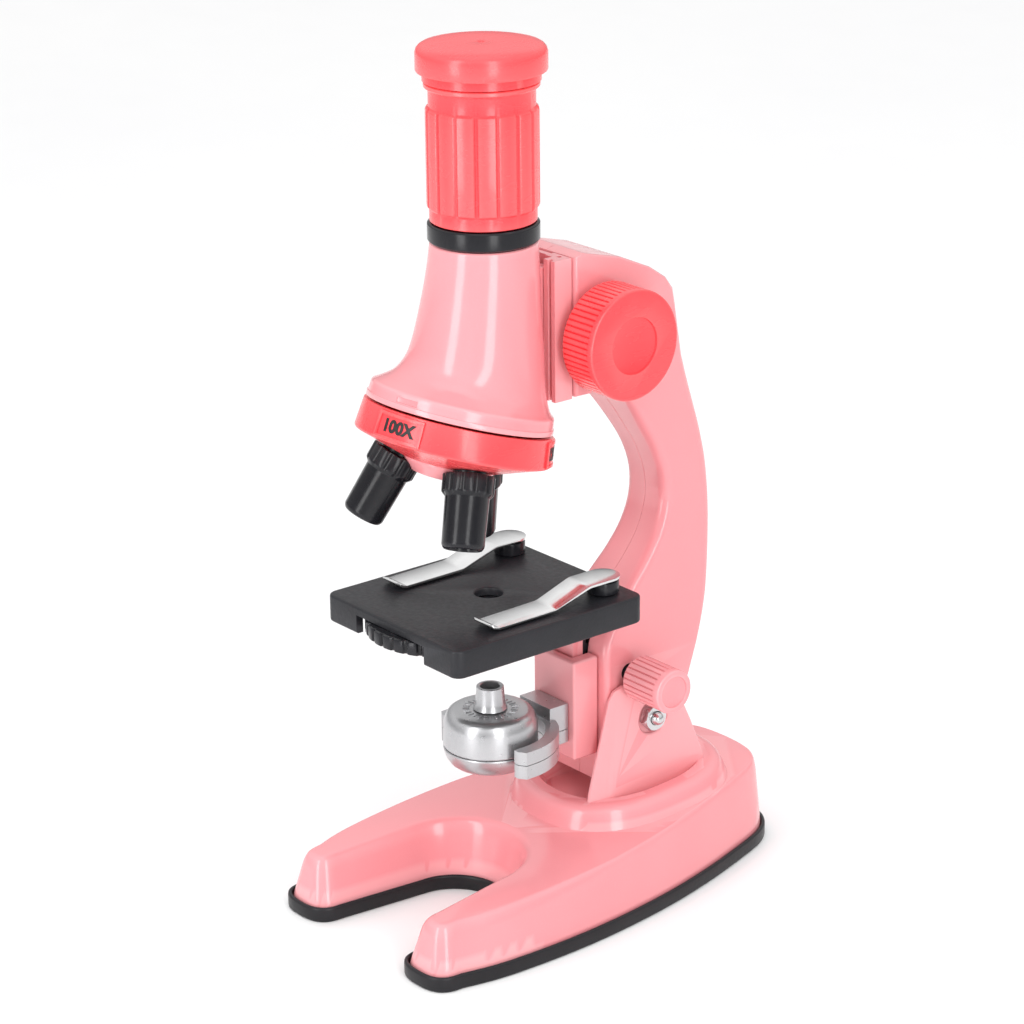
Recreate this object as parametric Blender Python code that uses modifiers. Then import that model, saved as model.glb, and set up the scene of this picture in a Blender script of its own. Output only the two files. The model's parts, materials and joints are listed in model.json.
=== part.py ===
"""Kids microscope, with every moulding, shaft and fastener as its own object.

Sizes below are in millimetres and are turned into metres as each mesh is made. Heights run from
the table. Places are given from the optical axis: x to the side, y from the axis back to the arm.
"""

import math

import bmesh
import bpy
from mathutils import Euler, Matrix, Vector

MM = 0.001
GAP = 0.3  # between pieces that touch

# Overall
OPTIC_Y = -20.2  # the optical axis, from the middle of the base's length
BASE_FRONT = -43.6
BASE_BACK = 84.0
BASE_TOP_AT_AXIS = 17.8
BASE_TOP_SLOPE = 0.06
RIM_HEIGHT = 4.0
RIM_WALL = 0.9
PLATE_FLOOR = 2.4
SHELL_WALL = 2.2

# Plinth and cheeks that carry the arm
PLINTH_Y = 42.5
PLINTH_HALF = (24.0, 28.0)
PLINTH_RISE = 5.6
CHEEK_INNER = 11.2
CHEEK_OUTER = 14.0
TILT_Y = 42.0
TILT_Z = 43.5
BOLT_RADIUS = 1.8

# Arm
ARM_WALL = 2.2

# Focus drives: both pinions mesh with a rack
TOOTH_MODULE = 1.0
COARSE_Y, COARSE_Z, COARSE_TEETH = 26.5, 148.0, 17
FINE_Y, FINE_Z, FINE_TEETH = 36.5, 56.3, 13
SHAFT_RADIUS = 2.0
COARSE_KNOB = (13.2, 24.4, 13.8)  # inner end, outer face, radius
FINE_KNOB = (14.6, 28.2, 5.75)

# Tube, turret and eyepiece
TURRET_TILT = math.radians(17.2)
APEX_Z = 158.8  # where the turret's axis crosses the optical axis
SEAM_DEPTH = 28.0  # from the apex, along the turret's axis
TURRET_TURN = math.radians(15.0)
OBJECTIVE_TOP = 41.5
OBJECTIVE_TIP = 60.1
TUBE_TOP = 174.1
TUBE_BORE = 10.9
COLLAR_TOP = 179.0
EYEPIECE_TOP = 213.0
CAP_RADIUS = 15.65
CAP_TOP = 222.0

# Stage
STAGE_HALF_WIDTH = 26.3
STAGE_FRONT = -30.8
STAGE_CORNER = 2.8
STAGE_BACK = 28.2
STAGE_TOP = 84.1
STAGE_SKIRT = 77.0
STAGE_SHEET = 2.1
STAGE_HOLE = 3.5
WHEEL_Y = -14.0
WHEEL_RADIUS = 19.6
CLIP_X = 18.3
CLIP_Y = 21.5

# Lamp
LAMP_Z = 43.6
LAMP_RADIUS = 12.0
YOKE_INNER = 13.8
YOKE_OUTER = 17.2

SEGMENTS = 28
SMALL_SEGMENTS = 12


# ---------------------------------------------------------------- scene and materials

def clear_scene():
    for thing in list(bpy.data.objects):
        bpy.data.objects.remove(thing, do_unlink=True)


def collection(name):
    made = bpy.data.collections.new(name)
    bpy.context.scene.collection.children.link(made)
    return made


def material(name, colour, roughness=0.35, metallic=0.0):
    made = bpy.data.materials.new(name)
    made.use_nodes = True
    shader = made.node_tree.nodes["Principled BSDF"]
    shader.inputs["Base Color"].default_value = (*colour, 1.0)
    shader.inputs["Roughness"].default_value = roughness
    shader.inputs["Metallic"].default_value = metallic
    return made


clear_scene()
PARTS = collection("kids_microscope")
CUTTERS = collection("cutters")
PINK = material("pink_plastic", (0.90, 0.38, 0.40), 0.3)
CORAL = material("coral_plastic", (0.95, 0.10, 0.12), 0.35)
BLACK = material("black_plastic", (0.012, 0.012, 0.014), 0.45)
SILVER = material("silver_paint", (0.45, 0.45, 0.46), 0.35, 0.7)
STEEL = material("plated_steel", (0.65, 0.65, 0.66), 0.2, 1.0)
LENS = material("clear_lens", (0.8, 0.9, 0.92), 0.05)
MIRROR = material("mirror_glass", (0.85, 0.87, 0.9), 0.03, 1.0)
CELL = material("cell_wrap", (0.05, 0.07, 0.09), 0.4)


# ---------------------------------------------------------------- shapes

def place(x, y, z):
    """A point given from the optical axis, as a world point in metres."""
    return Vector((x, y + OPTIC_Y, z)) * MM


def object_from(name, mesh, where=(0.0, 0.0, 0.0), turn=(0.0, 0.0, 0.0)):
    made = bpy.data.objects.new(name, mesh)
    made.location = where
    made.rotation_euler = turn
    PARTS.objects.link(made)
    return made


def mesh_from(name, fill):
    mesh = bpy.data.meshes.new(name)
    work = bmesh.new()
    fill(work)
    bmesh.ops.recalc_face_normals(work, faces=work.faces)
    work.to_mesh(mesh)
    work.free()
    return mesh


def box(name, low, high):
    """A box between two corners."""
    size = [(b - a) * MM for a, b in zip(low, high)]
    middle = place(*[(a + b) / 2 for a, b in zip(low, high)])

    def fill(work):
        bmesh.ops.create_cube(work, size=1.0, matrix=Matrix.Diagonal((*size, 1.0)))

    return object_from(name, mesh_from(name, fill), middle)


def rod(name, radius, length, where, turn=(0.0, 0.0, 0.0), segments=SMALL_SEGMENTS):
    """A cylinder about its own Z, from its foot up."""

    def fill(work):
        bmesh.ops.create_cone(
            work,
            cap_ends=True,
            segments=segments,
            radius1=radius * MM,
            radius2=radius * MM,
            depth=length * MM,
            matrix=Matrix.Translation((0.0, 0.0, length * MM / 2)),
        )

    return object_from(name, mesh_from(name, fill), place(*where), turn)


ALONG_X = (0.0, math.pi / 2, 0.0)
ALONG_Y = (-math.pi / 2, 0.0, 0.0)


def turned(name, profile, where=(0.0, 0.0, 0.0), turn=(0.0, 0.0, 0.0), steps=SEGMENTS):
    """A profile of (radius, height) points turned about Z. It runs down its outer side."""
    closed = profile[0][0] > 0 or profile[-1][0] > 0

    def fill(work):
        points = [work.verts.new((r * MM, 0.0, z * MM)) for r, z in profile]
        for a, b in zip(points, points[1:]):
            work.edges.new((a, b))
        if closed:
            work.edges.new((points[-1], points[0]))

    mesh = bpy.data.meshes.new(name)
    work = bmesh.new()
    fill(work)
    work.to_mesh(mesh)
    work.free()
    made = object_from(name, mesh, place(*where), turn)
    screw = made.modifiers.new("turn", "SCREW")
    screw.axis = "Z"
    screw.steps = steps
    screw.render_steps = steps
    screw.use_merge_vertices = True
    screw.merge_threshold = 0.000005
    screw.use_smooth_shade = True
    return made


def flat_outline(name, points, low, high, turn):
    """A flat outline as a filled curve, made a mesh, from low to high along its own Z."""
    curve = bpy.data.curves.new(name, "CURVE")
    curve.dimensions = "2D"
    curve.fill_mode = "BOTH"
    curve.extrude = (high - low) / 2 * MM
    spline = curve.splines.new("POLY")
    spline.points.add(len(points) - 1)
    for slot, (a, b) in zip(spline.points, points):
        slot.co = (a * MM, b * MM, 0.0, 1.0)
    spline.use_cyclic_u = True
    guide = bpy.data.objects.new(name + "_outline", curve)
    guide.rotation_euler = turn
    middle = Vector((0.0, 0.0, (high + low) / 2 * MM))
    guide.location = Euler(turn).to_matrix() @ middle
    CUTTERS.objects.link(guide)
    bpy.context.view_layer.update()
    mesh = bpy.data.meshes.new_from_object(guide.evaluated_get(bpy.context.evaluated_depsgraph_get()))
    work = bmesh.new()
    work.from_mesh(mesh)
    bmesh.ops.remove_doubles(work, verts=work.verts, dist=0.000001)
    bmesh.ops.recalc_face_normals(work, faces=work.faces)
    work.to_mesh(mesh)
    work.free()
    made = object_from(name, mesh)
    made.matrix_world = guide.matrix_world
    bpy.data.objects.remove(guide, do_unlink=True)
    return made


def side_plate(name, outline, low, high):
    """An outline of (y, z) points with its thickness along X."""
    shifted = [(y + OPTIC_Y, z) for y, z in outline]
    return flat_outline(name, shifted, low, high, (math.pi / 2, 0.0, math.pi / 2))


def level_plate(name, outline, low, high):
    """An outline of (x, y) points with its thickness along Z."""
    shifted = [(x, y + OPTIC_Y) for x, y in outline]
    return flat_outline(name, shifted, low, high, (0.0, 0.0, 0.0))


def loft(name, rings, where=(0.0, 0.0, 0.0), turn=(0.0, 0.0, 0.0)):
    """Skins rings of equally many (x, y, z) points, and caps both ends."""

    def fill(work):
        loops = [[work.verts.new(Vector(p) * MM) for p in ring] for ring in rings]
        for lower, upper in zip(loops, loops[1:]):
            for i in range(len(lower)):
                j = (i + 1) % len(lower)
                work.faces.new((lower[i], lower[j], upper[j], upper[i]))
        work.faces.new(loops[0][::-1])
        work.faces.new(loops[-1])
        work.normal_update()
        bmesh.ops.triangulate(work, faces=work.faces)

    return object_from(name, mesh_from(name, fill), place(*where), turn)


def ribbed(name, ribs, levels, pattern, where, turn=(0.0, 0.0, 0.0)):
    """A grip: each level is (height, crest radius, groove radius), each rib follows the pattern."""
    rings = []
    for height, crest, groove in levels:
        ring = []
        for rib in range(ribs):
            for part, is_crest in pattern:
                angle = math.tau * (rib + part) / ribs
                radius = crest if is_crest else groove
                ring.append((radius * math.cos(angle), radius * math.sin(angle), height))
        rings.append(ring)
    return loft(name, rings, where, turn)


KNURL = ((0.0, True), (0.5, False))
FLUTE = ((0.0, False), (0.12, True), (0.88, True))


def arc(centre, radius, start, end, steps):
    """Points on an arc, in degrees. The radius may be a pair for an ellipse."""
    rx, ry = radius if isinstance(radius, tuple) else (radius, radius)
    angles = [math.radians(start + (end - start) * i / steps) for i in range(steps + 1)]
    return [(centre[0] + rx * math.cos(t), centre[1] + ry * math.sin(t)) for t in angles]


def mirrored(half):
    """Closes a half outline, given from its first to its last point on x = 0, across x = 0."""
    other = [(-x, y) for x, y in reversed(half) if x > 0.001]
    return [*half, *other]


# ---------------------------------------------------------------- finishing

def hide(tool):
    tool.hide_render = True
    tool.display_type = "WIRE"
    PARTS.objects.unlink(tool)
    CUTTERS.objects.link(tool)


def boolean(thing, tool, operation):
    step = thing.modifiers.new(operation.lower(), "BOOLEAN")
    step.operation = operation
    step.solver = "EXACT"
    step.object = tool
    hide(tool)
    return thing


def cut(thing, *tools):
    for tool in tools:
        boolean(thing, tool, "DIFFERENCE")
    return thing


def join(thing, *tools):
    for tool in tools:
        boolean(thing, tool, "UNION")
    return thing


def bevel(thing, width, segments=2, angle=40):
    step = thing.modifiers.new("edges", "BEVEL")
    step.width = width * MM
    step.segments = segments
    step.limit_method = "ANGLE"
    step.angle_limit = math.radians(angle)
    return thing


def finish(thing, look, body=None):
    thing.data.materials.clear()
    thing.data.materials.append(look)
    thing.data.shade_smooth()
    thing.data.set_sharp_from_angle(angle=math.radians(35))
    if body:
        thing.parent = body
        thing.matrix_parent_inverse = body.matrix_world.inverted()
    return thing


def pivot(name, where, turn=(0.0, 0.0, 0.0), parent=None):
    """An empty on a joint's axis. The pieces of that body hang from it."""
    made = bpy.data.objects.new(name, None)
    made.empty_display_size = 0.01
    made.location = place(*where)
    made.rotation_euler = turn
    PARTS.objects.link(made)
    bpy.context.view_layer.update()
    if parent:
        world = made.matrix_world.copy()
        made.parent = parent
        made.matrix_parent_inverse = parent.matrix_world.inverted()
        made.matrix_world = world
        bpy.context.view_layer.update()
    return made


# ---------------------------------------------------------------- base

NOTCH_CENTRE = (0.0, -12.0)
NOTCH_RADII = (13.2, 12.4)
NOSE_Y = -36.0
NOSE_SIDES = (15.5, 33.3)
SIDE_POINTS = ((35.3, -26.0), (36.2, -14.0), (36.2, 0.0), (35.0, 15.0), (32.6, 32.0), (28.9, 48.5),
               (24.6, 63.0), (20.9, 73.4), (17.2, 78.9), (12.4, 82.2), (6.6, 83.6), (0.0, BASE_BACK))


def side_normals():
    """Outward normals at the side's points."""
    line = [(NOSE_SIDES[1], NOSE_Y), *SIDE_POINTS, (-SIDE_POINTS[-2][0], SIDE_POINTS[-2][1])]
    for before, after in zip(line, line[2:]):
        along = (Vector(after) - Vector(before)).normalized()
        yield Vector((along.y, -along.x))


def base_outline(notch_inset=0.0, side_inset=lambda y: 0.0):
    """The U-shaped foot, counter-clockwise. Its walls stand further in by the given insets."""
    radii = (NOTCH_RADII[0] + notch_inset, NOTCH_RADII[1] + notch_inset)
    notch = arc(NOTCH_CENTRE, radii, 90, 0, 6)
    nose_inset = side_inset(NOSE_Y)
    inner, outer = NOSE_SIDES[0] + notch_inset, NOSE_SIDES[1] - nose_inset
    start = NOSE_Y + 0.45 * nose_inset
    reach = start - (BASE_FRONT + nose_inset)
    middle, half_width = (inner + outer) / 2, (outer - inner) / 2
    nose = []
    for step in range(9):
        t = math.pi * (1 + step / 8)
        c, s = math.cos(t), math.sin(t)
        nose.append((middle + half_width * math.copysign(abs(c) ** 0.75, c), start - reach * abs(s) ** 0.75))
    side = [tuple(Vector(p) - n * side_inset(p[1])) for p, n in zip(SIDE_POINTS, side_normals())]
    return mirrored([*notch, *nose, *side])


def base_top(y):
    return BASE_TOP_AT_AXIS + BASE_TOP_SLOPE * y


NOTCH_LEAN = 7.0
WALL_START = 1.2


def side_lean(y):
    """How far the outer wall leans in by its top: most around the noses."""
    forward = min(1.0, max(0.0, (15.0 - y) / 45.0))
    return 4.0 + 2.3 * forward


def shell_rings(levels):
    """Rings of the base at (share of the lean, share of the height, extra depth, drop)."""
    foot = PLATE_FLOOR + GAP
    rings = []
    for lean, rise, extra, drop in levels:
        depth = WALL_START + extra
        outline = base_outline(
            depth + lean * (NOTCH_LEAN - WALL_START),
            lambda y: depth + lean * (side_lean(y) - WALL_START))
        rings.append([(x, y, foot + rise * (base_top(y) - drop - foot)) for x, y in outline])
    return rings


def plinth_rings(grow, levels):
    rings = []
    for shrink, height in levels:
        half_x = PLINTH_HALF[0] - shrink + grow
        half_y = PLINTH_HALF[1] - shrink + grow
        ring = []
        for i in range(28):
            t = math.tau * i / 28
            c, s = math.cos(t), math.sin(t)
            x = half_x * math.copysign(abs(c) ** 0.8, c)
            y = PLINTH_Y + half_y * math.copysign(abs(s) ** 0.8, s)
            ring.append((x, y, height(y)))
        rings.append(ring)
    return rings


CHEEK_OUTLINE = [(21.0, 20.0), (22.2, 27.0), (28.6, 50.6), (30.2, 53.0), (33.0, 53.9), (44.0, 53.6),
                 (48.2, 51.8), (50.6, 48.6), (55.2, 39.0), (59.4, 29.0), (61.0, 20.0)]
BASE_SCREWS = ((-24.3, -28.0), (24.3, -28.0), (0.0, 77.0))
DOOR = ((-16.5, 8.4), (16.5, 72.4))
DOOR_SCREW = (0.0, 11.6)
CELL_RADIUS = 7.25
CELL_X = 7.6
CELL_Z = 10.2
CELL_ENDS = (20.0, 70.5)


def make_base_shell():
    shell = loft("base_shell", shell_rings((
        (0.0, 0.0, 0.0, 0.0), (0.5, 0.78, 0.0, 0.0), (0.72, 0.95, 0.0, 0.0), (1.0, 1.0, 0.0, 0.0))))
    cut(shell, loft("base_hollow", shell_rings((
        (0.0, -0.3, SHELL_WALL, 0.0), (0.45, 1.0, SHELL_WALL, 3.4)))))
    rise = (
        (-0.4, lambda y: base_top(y) - 3.0),
        (0.9, lambda y: base_top(y) + 3.0),
        (2.2, lambda y: base_top(y) + 4.9),
        (4.0, lambda y: base_top(y) + PLINTH_RISE),
    )
    join(shell, loft("plinth", plinth_rings(0.0, rise)))
    sunken = ((6.6, lambda y: base_top(y) + PLINTH_RISE + 1.0), (9.6, lambda y: 21.6))
    cut(shell, loft("plinth_well", plinth_rings(0.0, sunken)[::-1]))
    for side in (-1, 1):
        low, high = sorted((side * CHEEK_INNER, side * CHEEK_OUTER))
        join(shell, bevel(side_plate(f"cheek_{side}", CHEEK_OUTLINE, low, high), 0.7, 2))
    cut(shell, box("cell_room", (-15.6, 15.8, 0.0), (15.6, 71.6, 17.9)))
    for i, (x, y) in enumerate((*BASE_SCREWS, DOOR_SCREW)):
        join(shell, rod(f"boss_{i}", 2.7, base_top(y) - 3.6, (x, y, PLATE_FLOOR + GAP)))
        cut(shell, rod(f"boss_hole_{i}", 1.3, 9.0, (x, y, 1.0)))
    across = 2 * CHEEK_OUTER + 4
    cut(shell, rod("bolt_hole", BOLT_RADIUS + GAP, across, (-across / 2, TILT_Y, TILT_Z), ALONG_X))
    cut(shell, rod("nut_pocket", 4.15, 3.0, (12.7, TILT_Y, TILT_Z), ALONG_X, 6))
    return finish(shell, PINK)


def make_base_plate():
    outline = base_outline()
    plate = bevel(level_plate("base_plate", outline, 0.0, RIM_HEIGHT), 0.5, 1, 60)
    well = base_outline(RIM_WALL, lambda y: RIM_WALL)
    cut(plate, level_plate("plate_well", well, PLATE_FLOOR, RIM_HEIGHT + 1))
    door_low = (DOOR[0][0] - GAP, DOOR[0][1] - GAP, -1.0)
    door_high = (DOOR[1][0] + GAP, DOOR[1][1] + GAP, PLATE_FLOOR + 1)
    cut(plate, box("door_way", door_low, door_high))
    for i, (x, y) in enumerate(BASE_SCREWS):
        cut(plate, rod(f"head_room_{i}", 2.6, 2.5, (x, y, -1.0)))
        cut(plate, rod(f"shank_room_{i}", 1.3, 5.0, (x, y, -1.0)))
    return finish(plate, BLACK)


def make_screw(name, length, where, turn=(0.0, 0.0, 0.0), body=None):
    """A pan-head screw that stands on its head, along its own Z."""
    profile = [(0.0, length), (1.0, length - 0.8), (1.0, 1.0), (2.2, 1.0), (1.9, 0.0), (0.0, 0.0)]
    finish(turned(name, profile, where, turn, 10), STEEL, body)


def make_power():
    door = box("battery_door", (*DOOR[0], 0.3), (*DOOR[1], 2.1))
    bevel(door, 0.4, 1)
    cut(door, rod("door_head_room", 2.6, 1.6, (*DOOR_SCREW, -0.3)))
    cut(door, rod("door_shank_room", 1.3, 5.0, (*DOOR_SCREW, -1.0)))
    finish(door, BLACK)
    make_screw("battery_door_screw", 8.5, (*DOOR_SCREW, 0.2))
    length = CELL_ENDS[1] - CELL_ENDS[0]
    profile = [(0.0, length), (2.7, length), (2.7, length - 1.0), (CELL_RADIUS, length - 1.0),
               (CELL_RADIUS, 0.0), (0.0, 0.0)]
    forward = (math.pi / 2, 0.0, 0.0)
    finish(turned("battery_right", profile, (CELL_X, CELL_ENDS[1], CELL_Z), forward, 20), CELL)
    finish(turned("battery_left", profile, (-CELL_X, CELL_ENDS[0], CELL_Z), ALONG_Y, 20), CELL)
    finish(box("contact_bridge", (-13.0, 70.9, 4.2), (13.0, 71.3, 15.5)), STEEL)
    finish(box("contact_plate", (2.4, 16.5, 4.6), (12.6, 16.9, 15.0)), STEEL)
    turns, per_turn = 3, 8
    coil = bpy.data.curves.new("contact_spring", "CURVE")
    coil.dimensions = "3D"
    coil.bevel_depth = 0.35 * MM
    coil.bevel_resolution = 1
    coil.use_fill_caps = True
    wire = coil.splines.new("POLY")
    wire.points.add(turns * per_turn)
    for i, slot in enumerate(wire.points):
        angle = math.tau * i / per_turn
        share = i / (turns * per_turn)
        radius = 4.2 - 1.8 * share
        where = place(-CELL_X + radius * math.cos(angle), 16.9 + 2.6 * share,
                      CELL_Z + radius * math.sin(angle))
        slot.co = (*where, 1.0)
    spring = bpy.data.objects.new("contact_spring", coil)
    PARTS.objects.link(spring)
    coil.materials.append(STEEL)
    for name, (x, y) in zip(("base_screw_left", "base_screw_right", "base_screw_rear"), BASE_SCREWS):
        make_screw(name, 8.5, (x, y, 0.2))


def make_tilt_bolt():
    left = -CHEEK_OUTER - 0.3
    profile = [(0.0, 31.6), (1.2, 31.0), (BOLT_RADIUS, 29.8), (BOLT_RADIUS, 0.0), (3.1, 0.0), (3.1, -1.0),
               (2.4, -1.9), (0.0, -2.2)]
    finish(turned("tilt_bolt", profile, (left, TILT_Y, TILT_Z), ALONG_X, 16), STEEL)
    nut = rod("tilt_nut", 3.75, 2.4, (13.0, TILT_Y, TILT_Z), ALONG_X, 6)
    cut(nut, rod("nut_bore", BOLT_RADIUS + 0.15, 6.0, (11.0, TILT_Y, TILT_Z), ALONG_X, 16))
    finish(nut, STEEL)


# ---------------------------------------------------------------- arm

# Sections from the hub's foot up to the head: inner (y, z), outer (y, z), half width, edge radius
ARM_SECTIONS = (
    ((29.0, 27.2), (43.0, 27.8), 10.8, 1.2), ((29.0, 31.0), (50.2, 32.5), 10.8, 1.2),
    ((29.0, 50.0), (57.6, 50.5), 10.8, 1.3),
    ((29.0, 58.0), (60.6, 58.6), 10.7, 1.6), ((29.4, 64.0), (62.8, 65.2), 10.4, 2.0),
    ((32.6, 70.0), (64.7, 71.8), 9.9, 2.5), ((38.2, 77.2), (66.1, 78.8), 9.2, 3.0),
    ((44.0, 83.4), (66.9, 86.0), 8.6, 3.1), ((48.4, 89.6), (67.2, 93.0), 8.2, 3.1),
    ((50.9, 96.6), (66.9, 100.0), 8.0, 3.1), ((50.9, 104.0), (65.9, 107.5), 8.0, 3.1),
    ((48.2, 111.6), (63.9, 115.5), 8.1, 3.1), ((43.8, 118.8), (61.2, 122.8), 8.6, 3.0),
    ((39.2, 125.4), (58.1, 130.0), 9.4, 2.6), ((34.4, 131.2), (55.0, 137.0), 10.4, 2.0),
    ((28.0, 133.0), (53.0, 144.0), 11.0, 1.4), ((19.1, 133.2), (51.9, 150.0), 11.0, 1.2),
    ((19.1, 142.0), (51.0, 155.0), 11.0, 1.2), ((19.1, 151.0), (48.6, 158.2), 11.0, 1.2),
    ((19.1, 158.0), (43.6, 161.6), 11.0, 1.2), ((19.1, 163.5), (34.0, 165.9), 11.0, 1.2),
    ((19.1, 168.2), (21.8, 169.0), 11.0, 0.9),
)
ARM_SCREWS = ((42.0, 155.0), (58.6, 104.0), (51.0, 58.0))


def arm_section(section, side, first_x, wall=0.0):
    """Half a rounded section of the arm, from the parting plane round its side."""
    inner, outer, width, radius = section
    inner, outer = Vector(inner), Vector(outer)
    along = (outer - inner).normalized()
    inner += along * wall
    outer -= along * wall
    width -= wall
    corner = arc((width - radius, 0.0), radius, -90, 0, 2)
    rows = [(first_x, inner), *((x, inner + along * (radius + v)) for x, v in corner)]
    rows += [*((x, outer - along * (radius + v)) for x, v in reversed(corner)), (first_x, outer)]
    return [(side * x, p.x, p.y) for x, p in rows]


def make_arm_half(name, side, body):
    half = loft(name, [arm_section(section, side, 0.15) for section in ARM_SECTIONS])
    inside = [arm_section(section, side, -1.0, ARM_WALL) for section in ARM_SECTIONS[1:-1:2]]
    hollow = loft(name + "_hollow", inside)
    for i, (y, z, radius) in enumerate(((TILT_Y, TILT_Z, 4.2), *((y, z, 3.3) for y, z in ARM_SCREWS))):
        cut(hollow, rod(f"{name}_boss_{i}", radius, 30.0, (-15.0, y, z), ALONG_X))
    for label, y, z, radius in (("tilt", TILT_Y, TILT_Z, BOLT_RADIUS + GAP),
                                ("coarse", COARSE_Y, COARSE_Z, SHAFT_RADIUS + GAP),
                                ("fine", FINE_Y, FINE_Z, SHAFT_RADIUS + GAP)):
        cut(half, rod(f"{name}_{label}_bore", radius + 0.05, 34.0, (-17.0, y, z), ALONG_X, 10))
    cut(half, box(name + "_rack_way", (-3.5, 17.0, 137.2), (3.5, 26.0, 166.0)))
    cut(half, box(name + "_slide_way", (-3.5, 27.0, 42.0), (3.5, 33.0, 72.0)))
    for i, (y, z) in enumerate(ARM_SCREWS):
        if side > 0:
            cut(half, rod(f"{name}_screw_{i}", 1.3, 7.0, (-1.0, y, z), ALONG_X, 10))
        else:
            cut(half, rod(f"{name}_screw_{i}", 1.3, 20.0, (-16.0, y, z), ALONG_X, 10))
            cut(half, rod(f"{name}_sink_{i}", 2.6, 10.0, (-16.0, y, z), ALONG_X, 10))
    cut(half, hollow)
    return finish(half, PINK, body)


def make_guides(body):
    upper = box("upper_guide", (-10.0, 13.5, 132.0), (10.0, 18.8, 168.2))
    bevel(upper, 0.6, 2)
    cut(upper, box("rail_way", (-5.9, 12.0, 130.0), (5.9, 16.1, 170.0)))
    cut(upper, box("rack_slot", (-3.4, 12.0, 130.0), (3.4, 20.0, 170.0)))
    join(upper, box("guide_bridge", (-9.0, 17.2, 164.6), (9.0, 18.7, 167.9)))
    finish(upper, PINK, body)
    lower = box("lower_guide", (-8.0, 20.6, 35.2), (8.0, 28.7, 62.0))
    bevel(lower, 1.0, 2)
    cut(lower, box("slide_groove", (-4.2, 23.3, 40.0), (4.2, 30.0, 64.0)))
    finish(lower, PINK, body)
    for name, (y, z) in zip(("arm_screw_top", "arm_screw_middle", "arm_screw_bottom"), ARM_SCREWS):
        make_screw(name, 10.0, (-7.3, y, z), ALONG_X, body)


def yoke_outline():
    outer = arc((0.0, 0.0), YOKE_OUTER, 0, 180, 14)
    inner = arc((0.0, 0.0), YOKE_INNER, 180, 0, 14)
    return [(15.6, -3.6), (YOKE_OUTER, -2.2), *outer, (-YOKE_OUTER, -2.2), (-15.6, -3.6),
            (-YOKE_INNER, -3.6), *inner, (YOKE_INNER, -3.6)]


def make_yoke(body):
    for name, low, high, block in (("lamp_yoke_upper", LAMP_Z + 0.15, 47.2, 50.6),
                                   ("lamp_yoke_lower", 40.0, LAMP_Z - 0.15, LAMP_Z - 0.15)):
        half = level_plate(name, yoke_outline(), low, high)
        bevel(half, 0.5, 1, 60)
        join(half, box(name + "_bracket", (-6.0, 14.4, low), (6.0, 20.3, block)))
        cut(half, rod(name + "_bores", 1.5, 32.0, (-16.0, 0.0, LAMP_Z), ALONG_X))
        finish(half, SILVER, body)


# ---------------------------------------------------------------- focus drives

def gear_outline(teeth):
    """A straight-sided gear: four points a tooth, with some backlash."""
    pitch = TOOTH_MODULE * teeth / 2
    root, tip = pitch - 1.15, pitch + 0.85
    points = []
    for tooth in range(teeth):
        for radius, share in ((root, -0.36), (tip, -0.12), (tip, 0.12), (root, 0.36)):
            angle = math.tau * (tooth + share) / teeth
            points.append((radius * math.cos(angle), radius * math.sin(angle)))
    return points


def make_pinion(name, teeth, y, z, end, body):
    """A gear and its shaft in one moulding, across the arm. A gap faces the rack, for odd teeth."""
    shaft = rod(name, SHAFT_RADIUS, 2 * end, (-end, y, z), ALONG_X, 12)
    outline = [(y + a, z + b) for a, b in gear_outline(teeth)]
    join(shaft, side_plate(name + "_gear", outline, -2.8, 2.8))
    return finish(shaft, BLACK, body)


def rack_outline(front, pitch_line, low, high, mesh_z):
    """A bar with teeth on its back. A tooth stands at mesh_z, where the pinion has a gap."""
    pitch = math.pi * TOOTH_MODULE
    root, tip = pitch_line - 1.15, pitch_line + 0.85
    first = math.ceil((low + pitch / 2 - mesh_z) / pitch)
    last = math.floor((high - pitch / 2 - mesh_z) / pitch)
    back = []
    for tooth in range(first, last + 1):
        middle = mesh_z + tooth * pitch
        for y, share in ((root, -0.36), (tip, -0.12), (tip, 0.12), (root, 0.36)):
            back.append((y, middle + share * pitch))
    return [(front, low), (root, low), *back, (root, high), (front, high)]


def make_knob(name, ends, radius, ribs, depth, side, y, z, look, body):
    """A grip wheel on the end of a shaft, with a shallow round dish in its outer face."""
    inner, outer = ends
    length = outer - inner
    pattern = KNURL if ribs > 30 else FLUTE
    levels = ((0.0, radius - 0.8, radius - 0.8 - depth), (0.7, radius, radius - depth),
              (length - 0.7, radius, radius - depth), (length, radius - 0.7, radius - 0.7 - depth))
    turn = ALONG_X if side > 0 else (0.0, -math.pi / 2, 0.0)
    knob = ribbed(name, ribs, levels, pattern, (side * inner, y, z), turn)
    start = outer - 0.7 if side > 0 else -outer - 1.0
    cut(knob, rod(name + "_dish", radius * 0.5, 1.7, (start, y, z), ALONG_X, 24))
    bore_start = inner - 1.0 if side > 0 else -outer + 3.0
    cut(knob, rod(name + "_bore", SHAFT_RADIUS + 0.15, length - 2.0, (bore_start, y, z), ALONG_X, 12))
    return finish(knob, look, body)


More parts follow.
